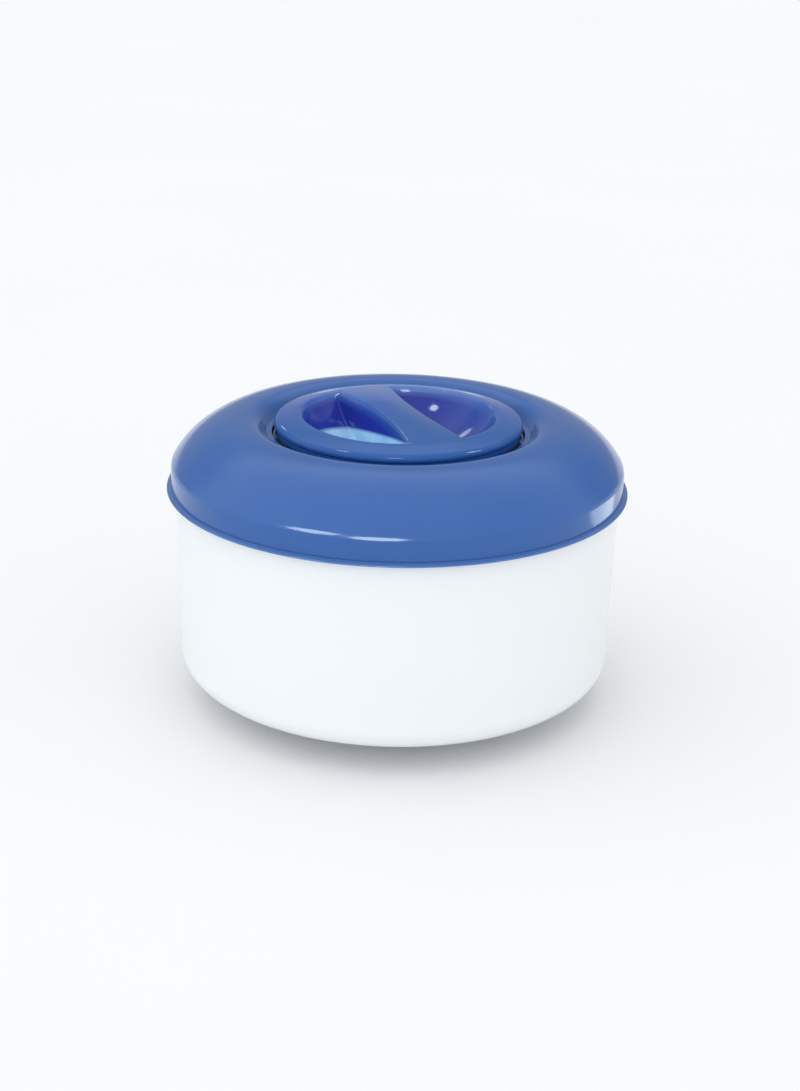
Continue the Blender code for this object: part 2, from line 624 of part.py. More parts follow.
def build_tablet_basket(material, parent):
    """Telescoping tube: bead for the dial, vent slots, key grooves, grooved flange on top."""
    groove_bottom = FLANGE_BOTTOM + 1.1 * MM
    groove_top = BASKET_TOP - 1.1 * MM
    groove_radius = BASKET_OUTER + 0.1 * MM
    outline = [
        (BASKET_INNER, BASKET_BOTTOM),
        (BASKET_OUTER, BASKET_BOTTOM),
        (BASKET_OUTER, BEAD_BOTTOM),
        (BEAD_RADIUS, BEAD_BOTTOM),
        (BEAD_RADIUS, BEAD_TOP),
        (BASKET_OUTER, BEAD_TOP),
        (BASKET_OUTER, FLANGE_BOTTOM),
        (BASKET_FLANGE, FLANGE_BOTTOM),
        (BASKET_FLANGE, groove_bottom),
        (groove_radius, groove_bottom),
        (groove_radius, groove_top),
        (BASKET_FLANGE, groove_top),
        (BASKET_FLANGE, BASKET_TOP),
        (BASKET_INNER, BASKET_TOP),
    ]
    basket = turned("tablet_basket", outline, INNER_STEPS, material, parent)
    grooves = []
    for angle in spread(KEY_COUNT, KEY_OFFSET):
        grooves.append((BASKET_OUTER - 0.8 * MM, BASKET_OUTER + MM, BEAD_TOP + 2.0 * MM,
                        FLANGE_BOTTOM - MM, angle, 2.6, 1))
    slots = slot_blocks(BASKET_INNER - MM, BASKET_OUTER + MM)
    combine(basket, sector_cutter("basket_cuts", slots + grooves, parent), "DIFFERENCE")
    return basket


def build_slide_ring(material, parent):
    outline = rectangle(
        BASKET_OUTER + 0.4 * MM, TUBE_INNER - GAP, FLANGE_BOTTOM + 1.4 * MM, BASKET_TOP - 1.4 * MM,
    )
    return turned("slide_ring", outline, INNER_STEPS, material, parent)


def build_vent_sleeve(material, parent):
    outline = rectangle(SLEEVE_INNER, SLEEVE_OUTER, BASKET_BOTTOM, SLEEVE_TOP)
    sleeve = turned("vent_sleeve", outline, INNER_STEPS, material, parent)
    cutter = sector_cutter("sleeve_cuts", slot_blocks(SLEEVE_INNER - MM, SLEEVE_OUTER + MM), parent)
    combine(sleeve, cutter, "DIFFERENCE")
    return sleeve


def build_vent_dial(material, parent):
    """Cup under the float: floor flange, pocket for the bead and clip, notched grip."""
    pocket = BEAD_RADIUS + GAP
    counterbore = pocket + 0.8 * MM
    outline = [
        (DIAL_HOLE, 0.0),
        (DIAL_RADIUS - DIAL_EDGE, 0.0),
        (DIAL_RADIUS, DIAL_EDGE),
        (DIAL_RADIUS, DIAL_TOP - DIAL_EDGE),
        (DIAL_RADIUS - DIAL_EDGE, DIAL_TOP),
        (counterbore, DIAL_TOP),
        (counterbore, CLIP_BOTTOM - GAP),
        (pocket, CLIP_BOTTOM - GAP),
        (pocket, DIAL_FLOOR),
        (DIAL_HOLE, DIAL_FLOOR),
    ]
    dial = turned("vent_dial", outline, INNER_STEPS, material, parent)
    bm = bmesh.new()
    for angle in spread(GRIP_COUNT, 180.0 / GRIP_COUNT):
        add_rod(bm, GRIP_NOTCH, 4 * DIAL_TOP, DIAL_RADIUS + DIAL_EDGE, angle)
    combine(dial, make_cutter("dial_notches", bm, parent), "DIFFERENCE")
    return dial


def build_base_grille(material, parent):
    """Perforated floor of the tablet chamber, with a hub that reaches down to the base."""
    bottom = DIAL_FLOOR + GAP
    outline = [
        (GRILLE_HUB, 0.0),
        (GRILLE_HUB, bottom),
        (SLEEVE_INNER - GAP, bottom),
        (SLEEVE_INNER - GAP, GRILLE_TOP),
    ]
    bm = bmesh.new()
    rows = []
    for radius, height in outline:
        row = []
        for k in range(INNER_STEPS):
            angle = 2 * math.pi * k / INNER_STEPS
            row.append(bm.verts.new((radius * math.cos(angle), radius * math.sin(angle), height)))
        rows.append(row)
    for low, high in zip(rows, rows[1:]):
        for k in range(INNER_STEPS):
            bm.faces.new((low[k - 1], low[k], high[k], high[k - 1]))
    bm.faces.new(rows[0][::-1])
    bm.faces.new(rows[-1])
    grille = make_object("base_grille", bm, material, parent)
    bm = bmesh.new()
    for count, circle, hole in GRILLE_HOLES:
        for angle in spread(count):
            add_rod(bm, hole, 4 * GRILLE_TOP, circle, angle)
    combine(grille, make_cutter("grille_holes", bm, parent), "DIFFERENCE")
    return grille


def build_dial_clip(material, parent):
    outline = rectangle(BASKET_OUTER + GAP, BEAD_RADIUS + 0.8 * MM, CLIP_BOTTOM, CLIP_TOP)
    return turned("dial_clip", outline, INNER_STEPS, material, parent)


# ================================================================ assembly
def build():
    clear_scene()
    blue = make_material("lid blue gloss", BLUE, 0.22)
    cap_blue = make_material("cap blue translucent", CAP_BLUE, 0.12)
    dark_blue = make_material("dial dark blue", DARK_BLUE, 0.30)
    white = make_material("bowl white gloss", WHITE, 0.25)
    inner_white = make_material("inner white plastic", INNER_WHITE, 0.45)
    rubber = make_material("seal rubber", RUBBER, 0.80)
    clear_grey = make_material("ring grey plastic", CLEAR_GREY, 0.25)

    float_frame = make_joint_empty("float_frame", (0, 0, 0))
    build_float_lid(blue, float_frame)
    build_rim_ring(blue, float_frame)
    build_float_bowl(white, float_frame)
    build_seam_gasket(rubber, float_frame)
    build_well_tube(inner_white, float_frame)
    build_tube_seals(rubber, float_frame)
    build_neck_ring(blue, float_frame)
    build_guide_bush(inner_white, float_frame)
    build_tie_lug(white, float_frame)

    ring_pivot = make_joint_empty("ring_pivot", RING_PIVOT)
    build_tie_ring(clear_grey, ring_pivot)

    cap_axis = make_joint_empty("cap_axis", (0, 0, LEDGE_TOP))
    cap_frame = make_joint_empty("cap_frame", (0, 0, -LEDGE_TOP))
    cap_frame.parent = cap_axis
    build_cap_seal(rubber, cap_frame)
    build_cap_liner(cap_blue, cap_frame)
    build_cap_shell(cap_blue, cap_frame)

    basket_axis = make_joint_empty("basket_axis", (0, 0, 0))
    build_tablet_basket(inner_white, basket_axis)
    build_slide_ring(rubber, basket_axis)

    vent_axis = make_joint_empty("vent_axis", (0, 0, 0))
    vent_axis.parent = basket_axis
    build_vent_sleeve(inner_white, vent_axis)
    build_vent_dial(dark_blue, vent_axis)
    build_base_grille(inner_white, vent_axis)
    build_dial_clip(inner_white, vent_axis)


build()
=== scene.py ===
"""Floating chlorine dispenser: fine surfaces, materials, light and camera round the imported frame.

Every CAD node is replaced by a finer piece of the same shape. Metres, +Z up, origin on the base.
"""
import json
import math

import bmesh
import bpy
from mathutils import Matrix, Vector


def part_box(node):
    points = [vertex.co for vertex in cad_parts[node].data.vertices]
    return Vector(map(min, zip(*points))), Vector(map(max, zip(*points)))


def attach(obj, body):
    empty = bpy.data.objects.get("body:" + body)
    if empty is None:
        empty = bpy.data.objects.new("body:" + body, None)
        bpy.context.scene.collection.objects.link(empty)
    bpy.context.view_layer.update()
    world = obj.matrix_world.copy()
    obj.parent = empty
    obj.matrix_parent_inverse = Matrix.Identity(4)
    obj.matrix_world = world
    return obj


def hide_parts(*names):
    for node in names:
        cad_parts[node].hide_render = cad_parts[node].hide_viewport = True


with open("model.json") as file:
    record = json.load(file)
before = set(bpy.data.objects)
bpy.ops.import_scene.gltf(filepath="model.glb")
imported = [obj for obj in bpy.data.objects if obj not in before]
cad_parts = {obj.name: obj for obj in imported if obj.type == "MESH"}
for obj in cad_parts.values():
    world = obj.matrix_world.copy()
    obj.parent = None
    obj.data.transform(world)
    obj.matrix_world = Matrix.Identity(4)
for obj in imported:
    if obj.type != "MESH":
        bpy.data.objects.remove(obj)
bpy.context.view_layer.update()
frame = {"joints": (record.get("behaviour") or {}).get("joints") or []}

MM = 0.001


# ================================================================ places taken from the frame
def low_high(node):
    low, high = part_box(node)
    return low.z, high.z


def radius_of(node):
    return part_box(node)[1].x


def joint_place(name):
    return next(Vector(joint["pos_m"]) for joint in frame["joints"] if joint["name"] == name)


RIM_RADIUS = radius_of("rim_ring")
RIM_BOTTOM, RIM_TOP = low_high("rim_ring")
SKIRT_RADIUS = radius_of("float_lid")
COLLAR_BOTTOM, CROWN_HEIGHT = low_high("float_lid")
BOWL_TOP_RADIUS = radius_of("float_bowl")
BOWL_UNDERSIDE, SPIGOT_TOP = low_high("float_bowl")
TUBE_BOTTOM, TUBE_TOP = low_high("well_tube")
BUSH_FLANGE = radius_of("guide_bush")
BUSH_BOTTOM, BUSH_TOP = low_high("guide_bush")
LEDGE_TOP = joint_place("cap_twist").z
RING_PIVOT = joint_place("tie_ring_swing")
CAP_RADIUS = radius_of("cap_shell")
CAP_TOP = low_high("cap_shell")[1]
LINER_FLANGE_RADIUS = radius_of("cap_liner")
LINER_BOTTOM, LINER_TOP = low_high("cap_liner")
BASKET_BOTTOM, BASKET_TOP = low_high("tablet_basket")
SLEEVE_OUTER = radius_of("vent_sleeve")
SLEEVE_TOP = low_high("vent_sleeve")[1]
DIAL_RADIUS = radius_of("vent_dial")
DIAL_TOP = low_high("vent_dial")[1]
GRILLE_TOP = low_high("base_grille")[1]
CLIP_RADIUS = radius_of("dial_clip")
CLIP_BOTTOM, CLIP_TOP = low_high("dial_clip")

# ================================================================ shape details
# The same as in the CAD, except for two: the lip's top slopes here, and the corner between a
# well's wall and floor is rounded more (WELL_CORNER_ROUNDING).
GAP = 0.3 * MM
OVERLAP = 1.0 * MM  # how far a cutter or an added block reaches past the face it meets

# lid, rim ring and bowl
SHELL_WALL = 2.0 * MM
SKIRT_WALL = 1.65 * MM
SKIRT_BOTTOM = RIM_TOP + GAP
SKIRT_STRAIGHT = 2.4 * MM
CROWN_RADIUS = 54.0 * MM
SHOULDER_ROUNDING = 4.5 * MM
SHOULDER_HEIGHT = SKIRT_BOTTOM + 6.4 * MM
RECESS_ROUNDING = 6.5 * MM
RECESS_FLOOR = CROWN_HEIGHT - 4.6 * MM
RECESS_END = 150.0
SPIGOT_RADIUS = SKIRT_RADIUS - 2.0 * MM
SEAT_HEIGHT = SKIRT_BOTTOM + 7.9 * MM
SEAT_INNER = SPIGOT_RADIUS - 1.9 * MM
GASKET_WIDTH = 1.8 * MM
LIP_CREST_RADIUS = SKIRT_RADIUS - 0.1 * MM
LIP_CREST_HEIGHT = RIM_TOP + 0.24 * MM
LIP_EDGE_TOP = RIM_BOTTOM + 0.5 * MM
BOWL_LOW_RADIUS = BOWL_TOP_RADIUS - 1.1 * MM
BOWL_ROUNDING = 8.0 * MM
BOWL_WALL = 2.2 * MM
BOWL_FOOT_WIDTH = 8.0 * MM

# the column in the middle, from the inside out
SLEEVE_INNER = SLEEVE_OUTER - 1.0 * MM
BASKET_INNER = SLEEVE_OUTER + 0.4 * MM
BASKET_OUTER = BASKET_INNER + 1.5 * MM
BUSH_INNER = BASKET_OUTER + 0.5 * MM
BUSH_OUTER = BUSH_INNER + 0.8 * MM
BASKET_FLANGE = BUSH_OUTER - 0.2 * MM
TUBE_INNER = BUSH_OUTER + GAP
TUBE_OUTER = TUBE_INNER + 1.6 * MM
FLOAT_BORE = TUBE_OUTER + 0.4 * MM
COLLAR_OUTER = FLOAT_BORE + 2.0 * MM
TUBE_FLANGE = TUBE_OUTER + 3.9 * MM
FLANGE_THICKNESS = 2.0 * MM
LOWER_FLANGE = BOWL_UNDERSIDE + 4.5 * MM
UPPER_FLANGE = CROWN_HEIGHT - 14.5 * MM
CORD_SIDES = 24

# keys of the bush and their grooves in the basket
KEY_ANGLES = (15.0, 135.0, 255.0)
KEY_HALF_ANGLE = 1.8
KEY_INNER = BASKET_OUTER - 0.4 * MM
KEY_OUTER = BUSH_INNER + 0.3 * MM
KEY_BOTTOM = BUSH_BOTTOM + 2.5 * MM
KEY_TOP = BUSH_TOP - 0.5 * MM

# bayonet between the neck ring and the cap liner
LUG_ANGLES = (0.0, 120.0, 240.0)
LEDGE_BOTTOM = LEDGE_TOP - 2.2 * MM
LINER_INNER = SLEEVE_INNER + 0.1 * MM
LINER_OUTER = LINER_INNER + 1.4 * MM
LINER_FLANGE = LINER_TOP - 2.0 * MM
LEDGE_INNER = LINER_OUTER + 0.4 * MM
LUG_ROOT = LINER_OUTER - 0.6 * MM
LUG_RADIUS = LINER_OUTER + 1.6 * MM
LUG_TOP = LEDGE_BOTTOM - 0.4 * MM
LUG_BOTTOM = LINER_BOTTOM + 0.6 * MM
LUG_HALF_ANGLE = 12.0
GATE_RADIUS = LUG_RADIUS + 0.4 * MM
GATE_HALF_ANGLE = 15.0
STOP_ANGLE = 55.5
STOP_HALF_ANGLE = 2.0
STOP_INNER = LEDGE_INNER + 0.2 * MM
STOP_OUTER = TUBE_INNER - 0.5 * MM
STOP_BOTTOM = LUG_BOTTOM - 0.2 * MM
CAP_SEAL_SECTION = 1.7 * MM
CAP_SEAL_RADIUS = GATE_RADIUS + 0.75 * MM
UPSTAND_INNER = CAP_SEAL_RADIUS + CAP_SEAL_SECTION / 2 + GAP
UPSTAND_TOP = LEDGE_TOP + 1.2 * MM

# cap
CAP_THICKNESS = 1.6 * MM
CAP_EDGE_BOTTOM = LINER_TOP + GAP
CAP_EDGE_ROUNDING = 2.2 * MM
CAP_EDGE_BAND = 0.6 * MM
CAP_EDGE_START = 75.0
CAP_SHOULDER_RADIUS = 36.5 * MM
CAP_SHOULDER_HEIGHT = CAP_EDGE_BOTTOM + 4.0 * MM
CAP_DOME_RISE = 0.5 * MM
BAR_ANGLE = math.radians(-67.0)
BAR_HALF_WIDTH = 7.2 * MM
BAR_FLARE = 3.6 * MM
BAR_EDGE_ROUNDING = 0.8 * MM
BAR_RISE = 1.4 * MM
BAR_RISE_FADE = 4.0 * MM
BAR_WALL_SLOPE = 4.5
WELL_RADIUS = 34.2 * MM
WELL_DEPTH = 15.5 * MM
WELL_FLATNESS = 2.5
WELL_STEEPNESS = 0.8
WELL_RIM_ROUNDING = 0.05
WELL_CORNER_ROUNDING = 2.4 * MM

# basket and vents
FLANGE_BOTTOM = BASKET_TOP - 3.7 * MM
BEAD_RADIUS = BASKET_OUTER + 1.0 * MM
BEAD_BOTTOM = BASKET_BOTTOM + 1.2 * MM
BEAD_TOP = BEAD_BOTTOM + 2.0 * MM
RING_SEAT_EDGE = 1.1 * MM
RING_SEAT_FLOOR = BASKET_OUTER + 0.1 * MM
SLIDE_RING_INNER = BASKET_OUTER + 0.4 * MM
GROOVE_HALF_ANGLE = 2.6
GROOVE_FLOOR = BASKET_OUTER - 0.8 * MM
GROOVE_BOTTOM = BEAD_TOP + 2.0 * MM
GROOVE_TOP = FLANGE_BOTTOM - 1.0 * MM
SLOT_COUNT = 12
SLOT_HALF_ANGLE = 4.7
SLOT_BOTTOM = 10.0 * MM
SLOT_TOP = 44.0 * MM
SLOT_ROUNDING = 1.4 * MM
DIAL_FLOOR = 2.0 * MM
DIAL_EDGE = 0.8 * MM
DIAL_HOLE = SLEEVE_INNER - 4.5 * MM
DIAL_POCKET = BEAD_RADIUS + GAP
DIAL_COUNTERBORE = DIAL_POCKET + 0.8 * MM
GRIP_COUNT = 12
GRIP_START = 15.0
GRIP_RADIUS = 2.0 * MM
GRILLE_HUB = 9.0 * MM
GRILLE_EDGE = 0.4 * MM
GRILLE_HOLES = ((8, 16.5 * MM, 2.6 * MM), (12, 27.5 * MM, 3.2 * MM))  # count, circle, radius

# tie ring and its lug
RING_RADIUS = 10.3 * MM
RING_WIRE = 1.25 * MM
RING_TURNS = 96
LUG_PAD_BACK = 79.9 * MM
LUG_PAD_FRONT = LUG_PAD_BACK + 2.0 * MM
LUG_HOLE = 1.9 * MM
EAR_ROUNDING = 3.6 * MM
EAR_HALF_WIDTH = 1.5 * MM
PAD_HALF_WIDTH = 6.0 * MM
PAD_ROUNDING = 2.2 * MM
PAD_BOTTOM = RING_PIVOT.z - 7.5 * MM
PAD_TOP = RIM_BOTTOM - 0.8 * MM

# ================================================================ fineness
OUTER_STEPS = 240
INNER_STEPS = 180
CAP_COLUMNS = 120
CAP_ROWS = (10, 36, 64)  # on the bar's top, on its edge and wall, over the well
LEAST_TURN = 25.0  # corners of an outline that turn by less stay as they are
MOST_OF_SIDE = 0.45  # the share of a side that the rounding at one of its ends may take
MERGE_DISTANCE = 2e-7
SHARP_ANGLE = 38.0
CUT_EDGE_ROUNDING = 0.18 * MM
CUT_EDGE_ANGLE = 40.0


# ================================================================ materials
class Nodes:
    """Short names for building a node tree."""

    def __init__(self, tree):
        self.tree = tree

    def add(self, kind, **settings):
        node = self.tree.nodes.new(kind)
        for key, value in settings.items():
            setattr(node, key, value)
        return node

    def link(self, source, target):
        self.tree.links.new(source, target)

    def fill(self, socket, value):
        """Give a socket a number, a colour or another node's output."""
        if isinstance(value, (int, float)):
            socket.default_value = value
        elif isinstance(value, tuple):
            socket.default_value = (*value, 1.0)
        else:
            self.link(value, socket)

    def parts(self, source):
        node = self.add("ShaderNodeSeparateXYZ")
        self.link(source, node.inputs["Vector"])
        return node.outputs

    def math(self, operation, first, second):
        node = self.add("ShaderNodeMath", operation=operation)
        self.fill(node.inputs[0], first)
        self.fill(node.inputs[1], second)
        return node.outputs["Value"]

    def ramp(self, source, low, high, to_low=0.0, to_high=1.0, curve="LINEAR"):
        """Map the range low..high to to_low..to_high and hold the end values outside it."""
        node = self.add("ShaderNodeMapRange", clamp=True, interpolation_type=curve)
        node.inputs["From Min"].default_value = low
        node.inputs["From Max"].default_value = high
        node.inputs["To Min"].default_value = to_low
        node.inputs["To Max"].default_value = to_high
        self.link(source, node.inputs["Value"])
        return node.outputs["Result"]


class Surface(Nodes):
    """The node tree of one material, with its noise in object coordinates."""

    def __init__(self, name):
        self.material = bpy.data.materials.new(name)
        self.material.use_nodes = True
        super().__init__(self.material.node_tree)
        self.shader = self.tree.nodes["Principled BSDF"]
        self.place = self.add("ShaderNodeTexCoord").outputs["Object"]

    def noise(self, scale, detail=3.0, roughness=0.5, stretch=(1.0, 1.0, 1.0)):
        mapping = self.add("ShaderNodeMapping")
        mapping.inputs["Scale"].default_value = stretch
        self.link(self.place, mapping.inputs["Vector"])
        node = self.add("ShaderNodeTexNoise")
        node.inputs["Scale"].default_value = scale
        node.inputs["Detail"].default_value = detail
        node.inputs["Roughness"].default_value = roughness
        self.link(mapping.outputs["Vector"], node.inputs["Vector"])
        return node.outputs["Fac"]

    def mix(self, factor, first, second):
        node = self.add("ShaderNodeMix", data_type="RGBA")
        self.link(factor, node.inputs["Factor"])
        self.fill(node.inputs["A"], first)
        self.fill(node.inputs["B"], second)
        return node.outputs["Result"]

    def colour(self, source):
        self.link(source, self.shader.inputs["Base Color"])

    def polish(self, scale, smoothest, roughest, roughness=0.5):
        """Roughness that varies from place to place."""
        uneven = self.noise(scale, roughness=roughness)
        self.link(self.ramp(uneven, 0.3, 0.7, smoothest, roughest), self.shader.inputs["Roughness"])

    def bump(self, layers):
        """Chain of bumps, each given as (height output, distance in metres)."""
        normal = None
        for source, distance in layers:
            node = self.add("ShaderNodeBump")
            node.inputs["Strength"].default_value = 1.0
            node.inputs["Distance"].default_value = distance
            self.link(source, node.inputs["Height"])
            if normal is not None:
                self.link(normal, node.inputs["Normal"])
            normal = node.outputs["Normal"]
        self.link(normal, self.shader.inputs["Normal"])

    def set(self, **values):
        for key, value in values.items():
            self.shader.inputs[key.replace("_", " ")].default_value = value


def moulded_plastic(name, colour, deep, rough, grain=0.004 * MM):
    """Moulded plastic: slight flow marks, uneven polish, a long waviness and a fine grain."""
    n = Surface(name)
    flow = n.noise(22.0, detail=4.0, roughness=0.55, stretch=(1.0, 1.0, 2.2))
    n.colour(n.mix(n.ramp(flow, 0.35, 0.68), colour, deep))
    n.polish(140.0, rough * 0.88, rough * 1.14, roughness=0.6)
    n.bump([(n.noise(40.0, detail=1.0), 0.03 * MM), (n.noise(1500.0, detail=2.0), grain)])
    n.set(IOR=1.46)
    return n


def lid_material():
    colours = (0.027, 0.112, 0.375), (0.024, 0.104, 0.355)
    return moulded_plastic("lid_blue_gloss", *colours, rough=0.14).material


def lip_material():
    """The lip is thin; its blue is paler than the lid's, a painted sheen for the light off and
    through its edge.
    """
    # painted sheen: a paler blue than the lid's
    colours = (0.070, 0.168, 0.435), (0.063, 0.158, 0.415)
    return moulded_plastic("lip_blue_painted_sheen", *colours, rough=0.14).material


def bowl_material():
    colours = (0.850, 0.875, 0.885), (0.838, 0.866, 0.880)
    return moulded_plastic("bowl_white_gloss", *colours, rough=0.24).material


def inner_material():
    colours = (0.76, 0.78, 0.79), (0.71, 0.735, 0.75)
    return moulded_plastic("inner_white_matte", *colours, rough=0.42, grain=0.012 * MM).material


def dial_material():
    colours = (0.018, 0.044, 0.225), (0.015, 0.036, 0.200)
    return moulded_plastic("dial_dark_blue", *colours, rough=0.26, grain=0.010 * MM).material


def tie_material():
    n = moulded_plastic("tie_grey_clear", (0.45, 0.50, 0.58), (0.40, 0.46, 0.55), rough=0.16)
    n.set(Transmission_Weight=0.25)
    return n.material


def cap_body(n, y):
    """The cap's blue with painted light: a darker, greener painted shade towards the front and a
    paler painted reflection towards the back.
    """
    front_painted_shade_blue = (0.019, 0.100, 0.350)
    back_painted_sheen_blue = (0.200, 0.330, 0.620)
    flow = n.ramp(n.noise(30.0), 0.35, 0.68)
    body = n.mix(flow, (0.034, 0.104, 0.425), (0.030, 0.096, 0.405))
    # painted shade: darker, greener blue towards the front
    body = n.mix(n.ramp(y, 12 * MM, -14 * MM), body, front_painted_shade_blue)
    # painted reflection: paler blue towards the back
    return n.mix(n.ramp(y, 8 * MM, 34 * MM, to_high=0.45), body, back_painted_sheen_blue)


def painted_light_floors(n, x, y, z):
    """Painted pool of light: 1 on the wells' lower parts, below a slanted plane left of the bar,
    below a lower, level one right of it."""
    slanted = n.math("ADD", n.math("MULTIPLY", y, -0.2), LEDGE_TOP + 1.4 * MM)
    level = LEDGE_TOP - 2.6 * MM
    from_y = n.math("MULTIPLY", y, math.cos(BAR_ANGLE))
    from_x = n.math("MULTIPLY", x, math.sin(BAR_ANGLE))
    right = n.math("GREATER_THAN", n.math("SUBTRACT", from_y, from_x), 0.0)
    drop = n.math("MULTIPLY", right, n.math("SUBTRACT", slanted, level))
    below = n.math("SUBTRACT", n.math("SUBTRACT", slanted, drop), z)
    return n.ramp(below, -0.5 * MM, 0.7 * MM)


def cap_material():
    """Glossier than the lid's plastic, with painted shade deep on the wells' walls and painted
    light pale on their lower parts.
    """
    left_painted_shade, right_painted_shade = (0.016, 0.032, 0.315), (0.020, 0.070, 0.365)
    n = Surface("cap_blue_painted_light")
    x, y, z = n.parts(n.place)
    reach = n.math("ADD", n.math("MULTIPLY", x, x), n.math("MULTIPLY", y, y))
    in_wells = n.math("LESS_THAN", reach, WELL_RADIUS ** 2)
    # painted shade: the wells' walls darken towards their bottoms
    deep = n.math("MULTIPLY", n.ramp(z, LEDGE_TOP + 8.4 * MM, LEDGE_TOP + 5.0 * MM), in_wells)
    # the painted shade is a little lighter and greener on the right
    painted_shade_blue = n.mix(n.ramp(x, 14 * MM, 30 * MM), left_painted_shade, right_painted_shade)
    walls = n.mix(deep, cap_body(n, y), painted_shade_blue)
    # painted light: a pale cyan pool on the wells' lower parts, over the walls' painted shade
    cloud = n.ramp(n.noise(120.0, detail=2.0), 0.35, 0.65)
    pale = n.mix(cloud, (0.280, 0.560, 0.820), (0.400, 0.660, 0.880))
    n.colour(n.mix(n.math("MULTIPLY", painted_light_floors(n, x, y, z), in_wells), walls, pale))
    n.polish(160.0, 0.07, 0.11)
    n.bump([(n.noise(45.0, detail=1.0), 0.03 * MM), (n.noise(1600.0, detail=2.0), 0.002 * MM)])
    n.set(IOR=1.45, Specular_IOR_Level=0.32)
    return n.material


def rubber_material():
    n = Surface("seal_rubber_black")
    cloud = n.ramp(n.noise(90.0, detail=4.0, roughness=0.6), 0.3, 0.7)
    n.colour(n.mix(cloud, (0.026, 0.027, 0.030), (0.042, 0.043, 0.046)))
    n.polish(300.0, 0.55, 0.72)
    n.bump([(n.noise(1800.0), 0.02 * MM)])
    return n.material


def floor_material():
    n = Surface("floor_pale")
    cloud = n.ramp(n.noise(2.0), 0.3, 0.7)
    n.colour(n.mix(cloud, (0.900, 0.905, 0.910), (0.885, 0.890, 0.897)))
    n.set(Roughness=0.85, Specular_IOR_Level=0.25)
    return n.material


# ================================================================ outlines
def polar(radius, angle, height):
    return radius * math.cos(angle), radius * math.sin(angle), height


def arc(centre, radius, start, end, steps):
    """Points of an arc between two angles in degrees."""
    points = []
    for i in range(steps + 1):
        angle = math.radians(start + (end - start) * i / steps)
        points.append((centre[0] + radius * math.cos(angle), centre[1] + radius * math.sin(angle)))
    return points


def rectangle(inner, outer, bottom, top):
    return [(inner, bottom), (outer, bottom), (outer, top), (inner, top)]


def rounded_rectangle(half_width, bottom, top, rounding, steps, first=0):
    """Upright rectangle round the middle, its corners rounded, counted from the low right one."""
    right, left = half_width - rounding, rounding - half_width
    low, high = bottom + rounding, top - rounding
    centres = ((right, low), (right, high), (left, high), (left, low))
    points = []
    for corner in range(first, first + 4):
        start = 270 + 90 * corner
        points += arc(centres[corner % 4], rounding, start, start + 90, steps)
    return points


def softened(outline, rounding, steps=3):
    """Round every real corner of a closed outline."""
    points = [Vector(p) for p in outline]
    result = []
    for i, here in enumerate(points):
        back = points[i - 1] - here
        on = points[(i + 1) % len(points)] - here
        turn = math.pi - back.angle(on)
        if math.degrees(turn) < LEAST_TURN:
            result.append(tuple(here))
            continue
        room = min(back.length * MOST_OF_SIDE, on.length * MOST_OF_SIDE)
        reach = min(rounding * math.tan(turn / 2), room)
        start = here + back.normalized() * reach
        end = here + on.normalized() * reach
        for k in range(steps + 1):
            t = k / steps
            point = (1 - t) ** 2 * start + 2 * t * (1 - t) * here + t * t * end
            result.append(tuple(point))
    return result


# ================================================================ meshes
def join_rings(bm, low, high):
    for k in range(len(low)):
        bm.faces.new((low[k - 1], low[k], high[k], high[k - 1]))


def turned_mesh(outline, steps):
    """Closed outline of (radius, height) points turned round Z."""
    bm = bmesh.new()
    rings = []
    for k in range(steps):
        angle = 2 * math.pi * k / steps
        rings.append([bm.verts.new(polar(r, angle, z)) for r, z in outline])
    for k in range(steps):
        join_rings(bm, rings[k - 1], rings[k])
    return bm


def disc_mesh(outline, steps):
    """Open outline whose two ends lie on flat faces, turned round Z and capped."""
    bm = bmesh.new()
    angles = [2 * math.pi * k / steps for k in range(steps)]
    rings = [[bm.verts.new(polar(r, angle, z)) for angle in angles] for r, z in outline]
    for low, high in zip(rings, rings[1:]):
        join_rings(bm, low, high)
    bm.faces.new(rings[0][::-1])
    bm.faces.new(rings[-1])
    return bm


def extruded_mesh(outline, shift):
    """Flat outline of 3-D points swept along a straight line into a block."""
    bm = bmesh.new()
    face = bm.faces.new([bm.verts.new(point) for point in outline])
    swept = bmesh.ops.extrude_face_region(bm, geom=[face])
    moved = [item for item in swept["geom"] if isinstance(item, bmesh.types.BMVert)]
    bmesh.ops.translate(bm, vec=shift, verts=moved)
    return bm


def scene_object(name, bm):
    mesh = bpy.data.meshes.new(name)
    bm.to_mesh(mesh)
    bm.free()
    made = bpy.data.objects.new(name, mesh)
    bpy.context.scene.collection.objects.link(made)
    return made


# ================================================================ cutters and added blocks
def tool_object(name, bm):
    bmesh.ops.recalc_face_normals(bm, faces=bm.faces[:])
    tool = scene_object(name, bm)
    tool.hide_render = True
    return tool


def sector_tool(name, section, angles, half_angle, steps):
    """Blocks round Z: one section of (radius, height) points swept about each angle in degrees."""
    bm = bmesh.new()
    for centre_angle in angles:
        rings = []
        for i in range(steps + 1):
            angle = math.radians(centre_angle - half_angle + 2 * half_angle * i / steps)
            rings.append([bm.verts.new(polar(r, angle, z)) for r, z in section])
        for low, high in zip(rings, rings[1:]):
            join_rings(bm, low, high)
        bm.faces.new(rings[0])
        bm.faces.new(rings[-1][::-1])
    return tool_object(name, bm)


def slot_tool(name, inner, outer):
    """Cutter for the ring of upright slots between two radii."""
    bm = bmesh.new()
    middle = (inner + outer) / 2
    half_width = middle * math.radians(SLOT_HALF_ANGLE)
    corners = rounded_rectangle(half_width, SLOT_BOTTOM, SLOT_TOP, SLOT_ROUNDING, 6)
    for i in range(SLOT_COUNT):
        turn = 2 * math.pi * i / SLOT_COUNT
        ends = []
        for radius in (inner, outer):
            points = [polar(radius, turn + aside / middle, z) for aside, z in corners]
            ends.append([bm.verts.new(point) for point in points])
        join_rings(bm, *ends)
        bm.faces.new(ends[0])
        bm.faces.new(ends[1][::-1])
    return tool_object(name, bm)


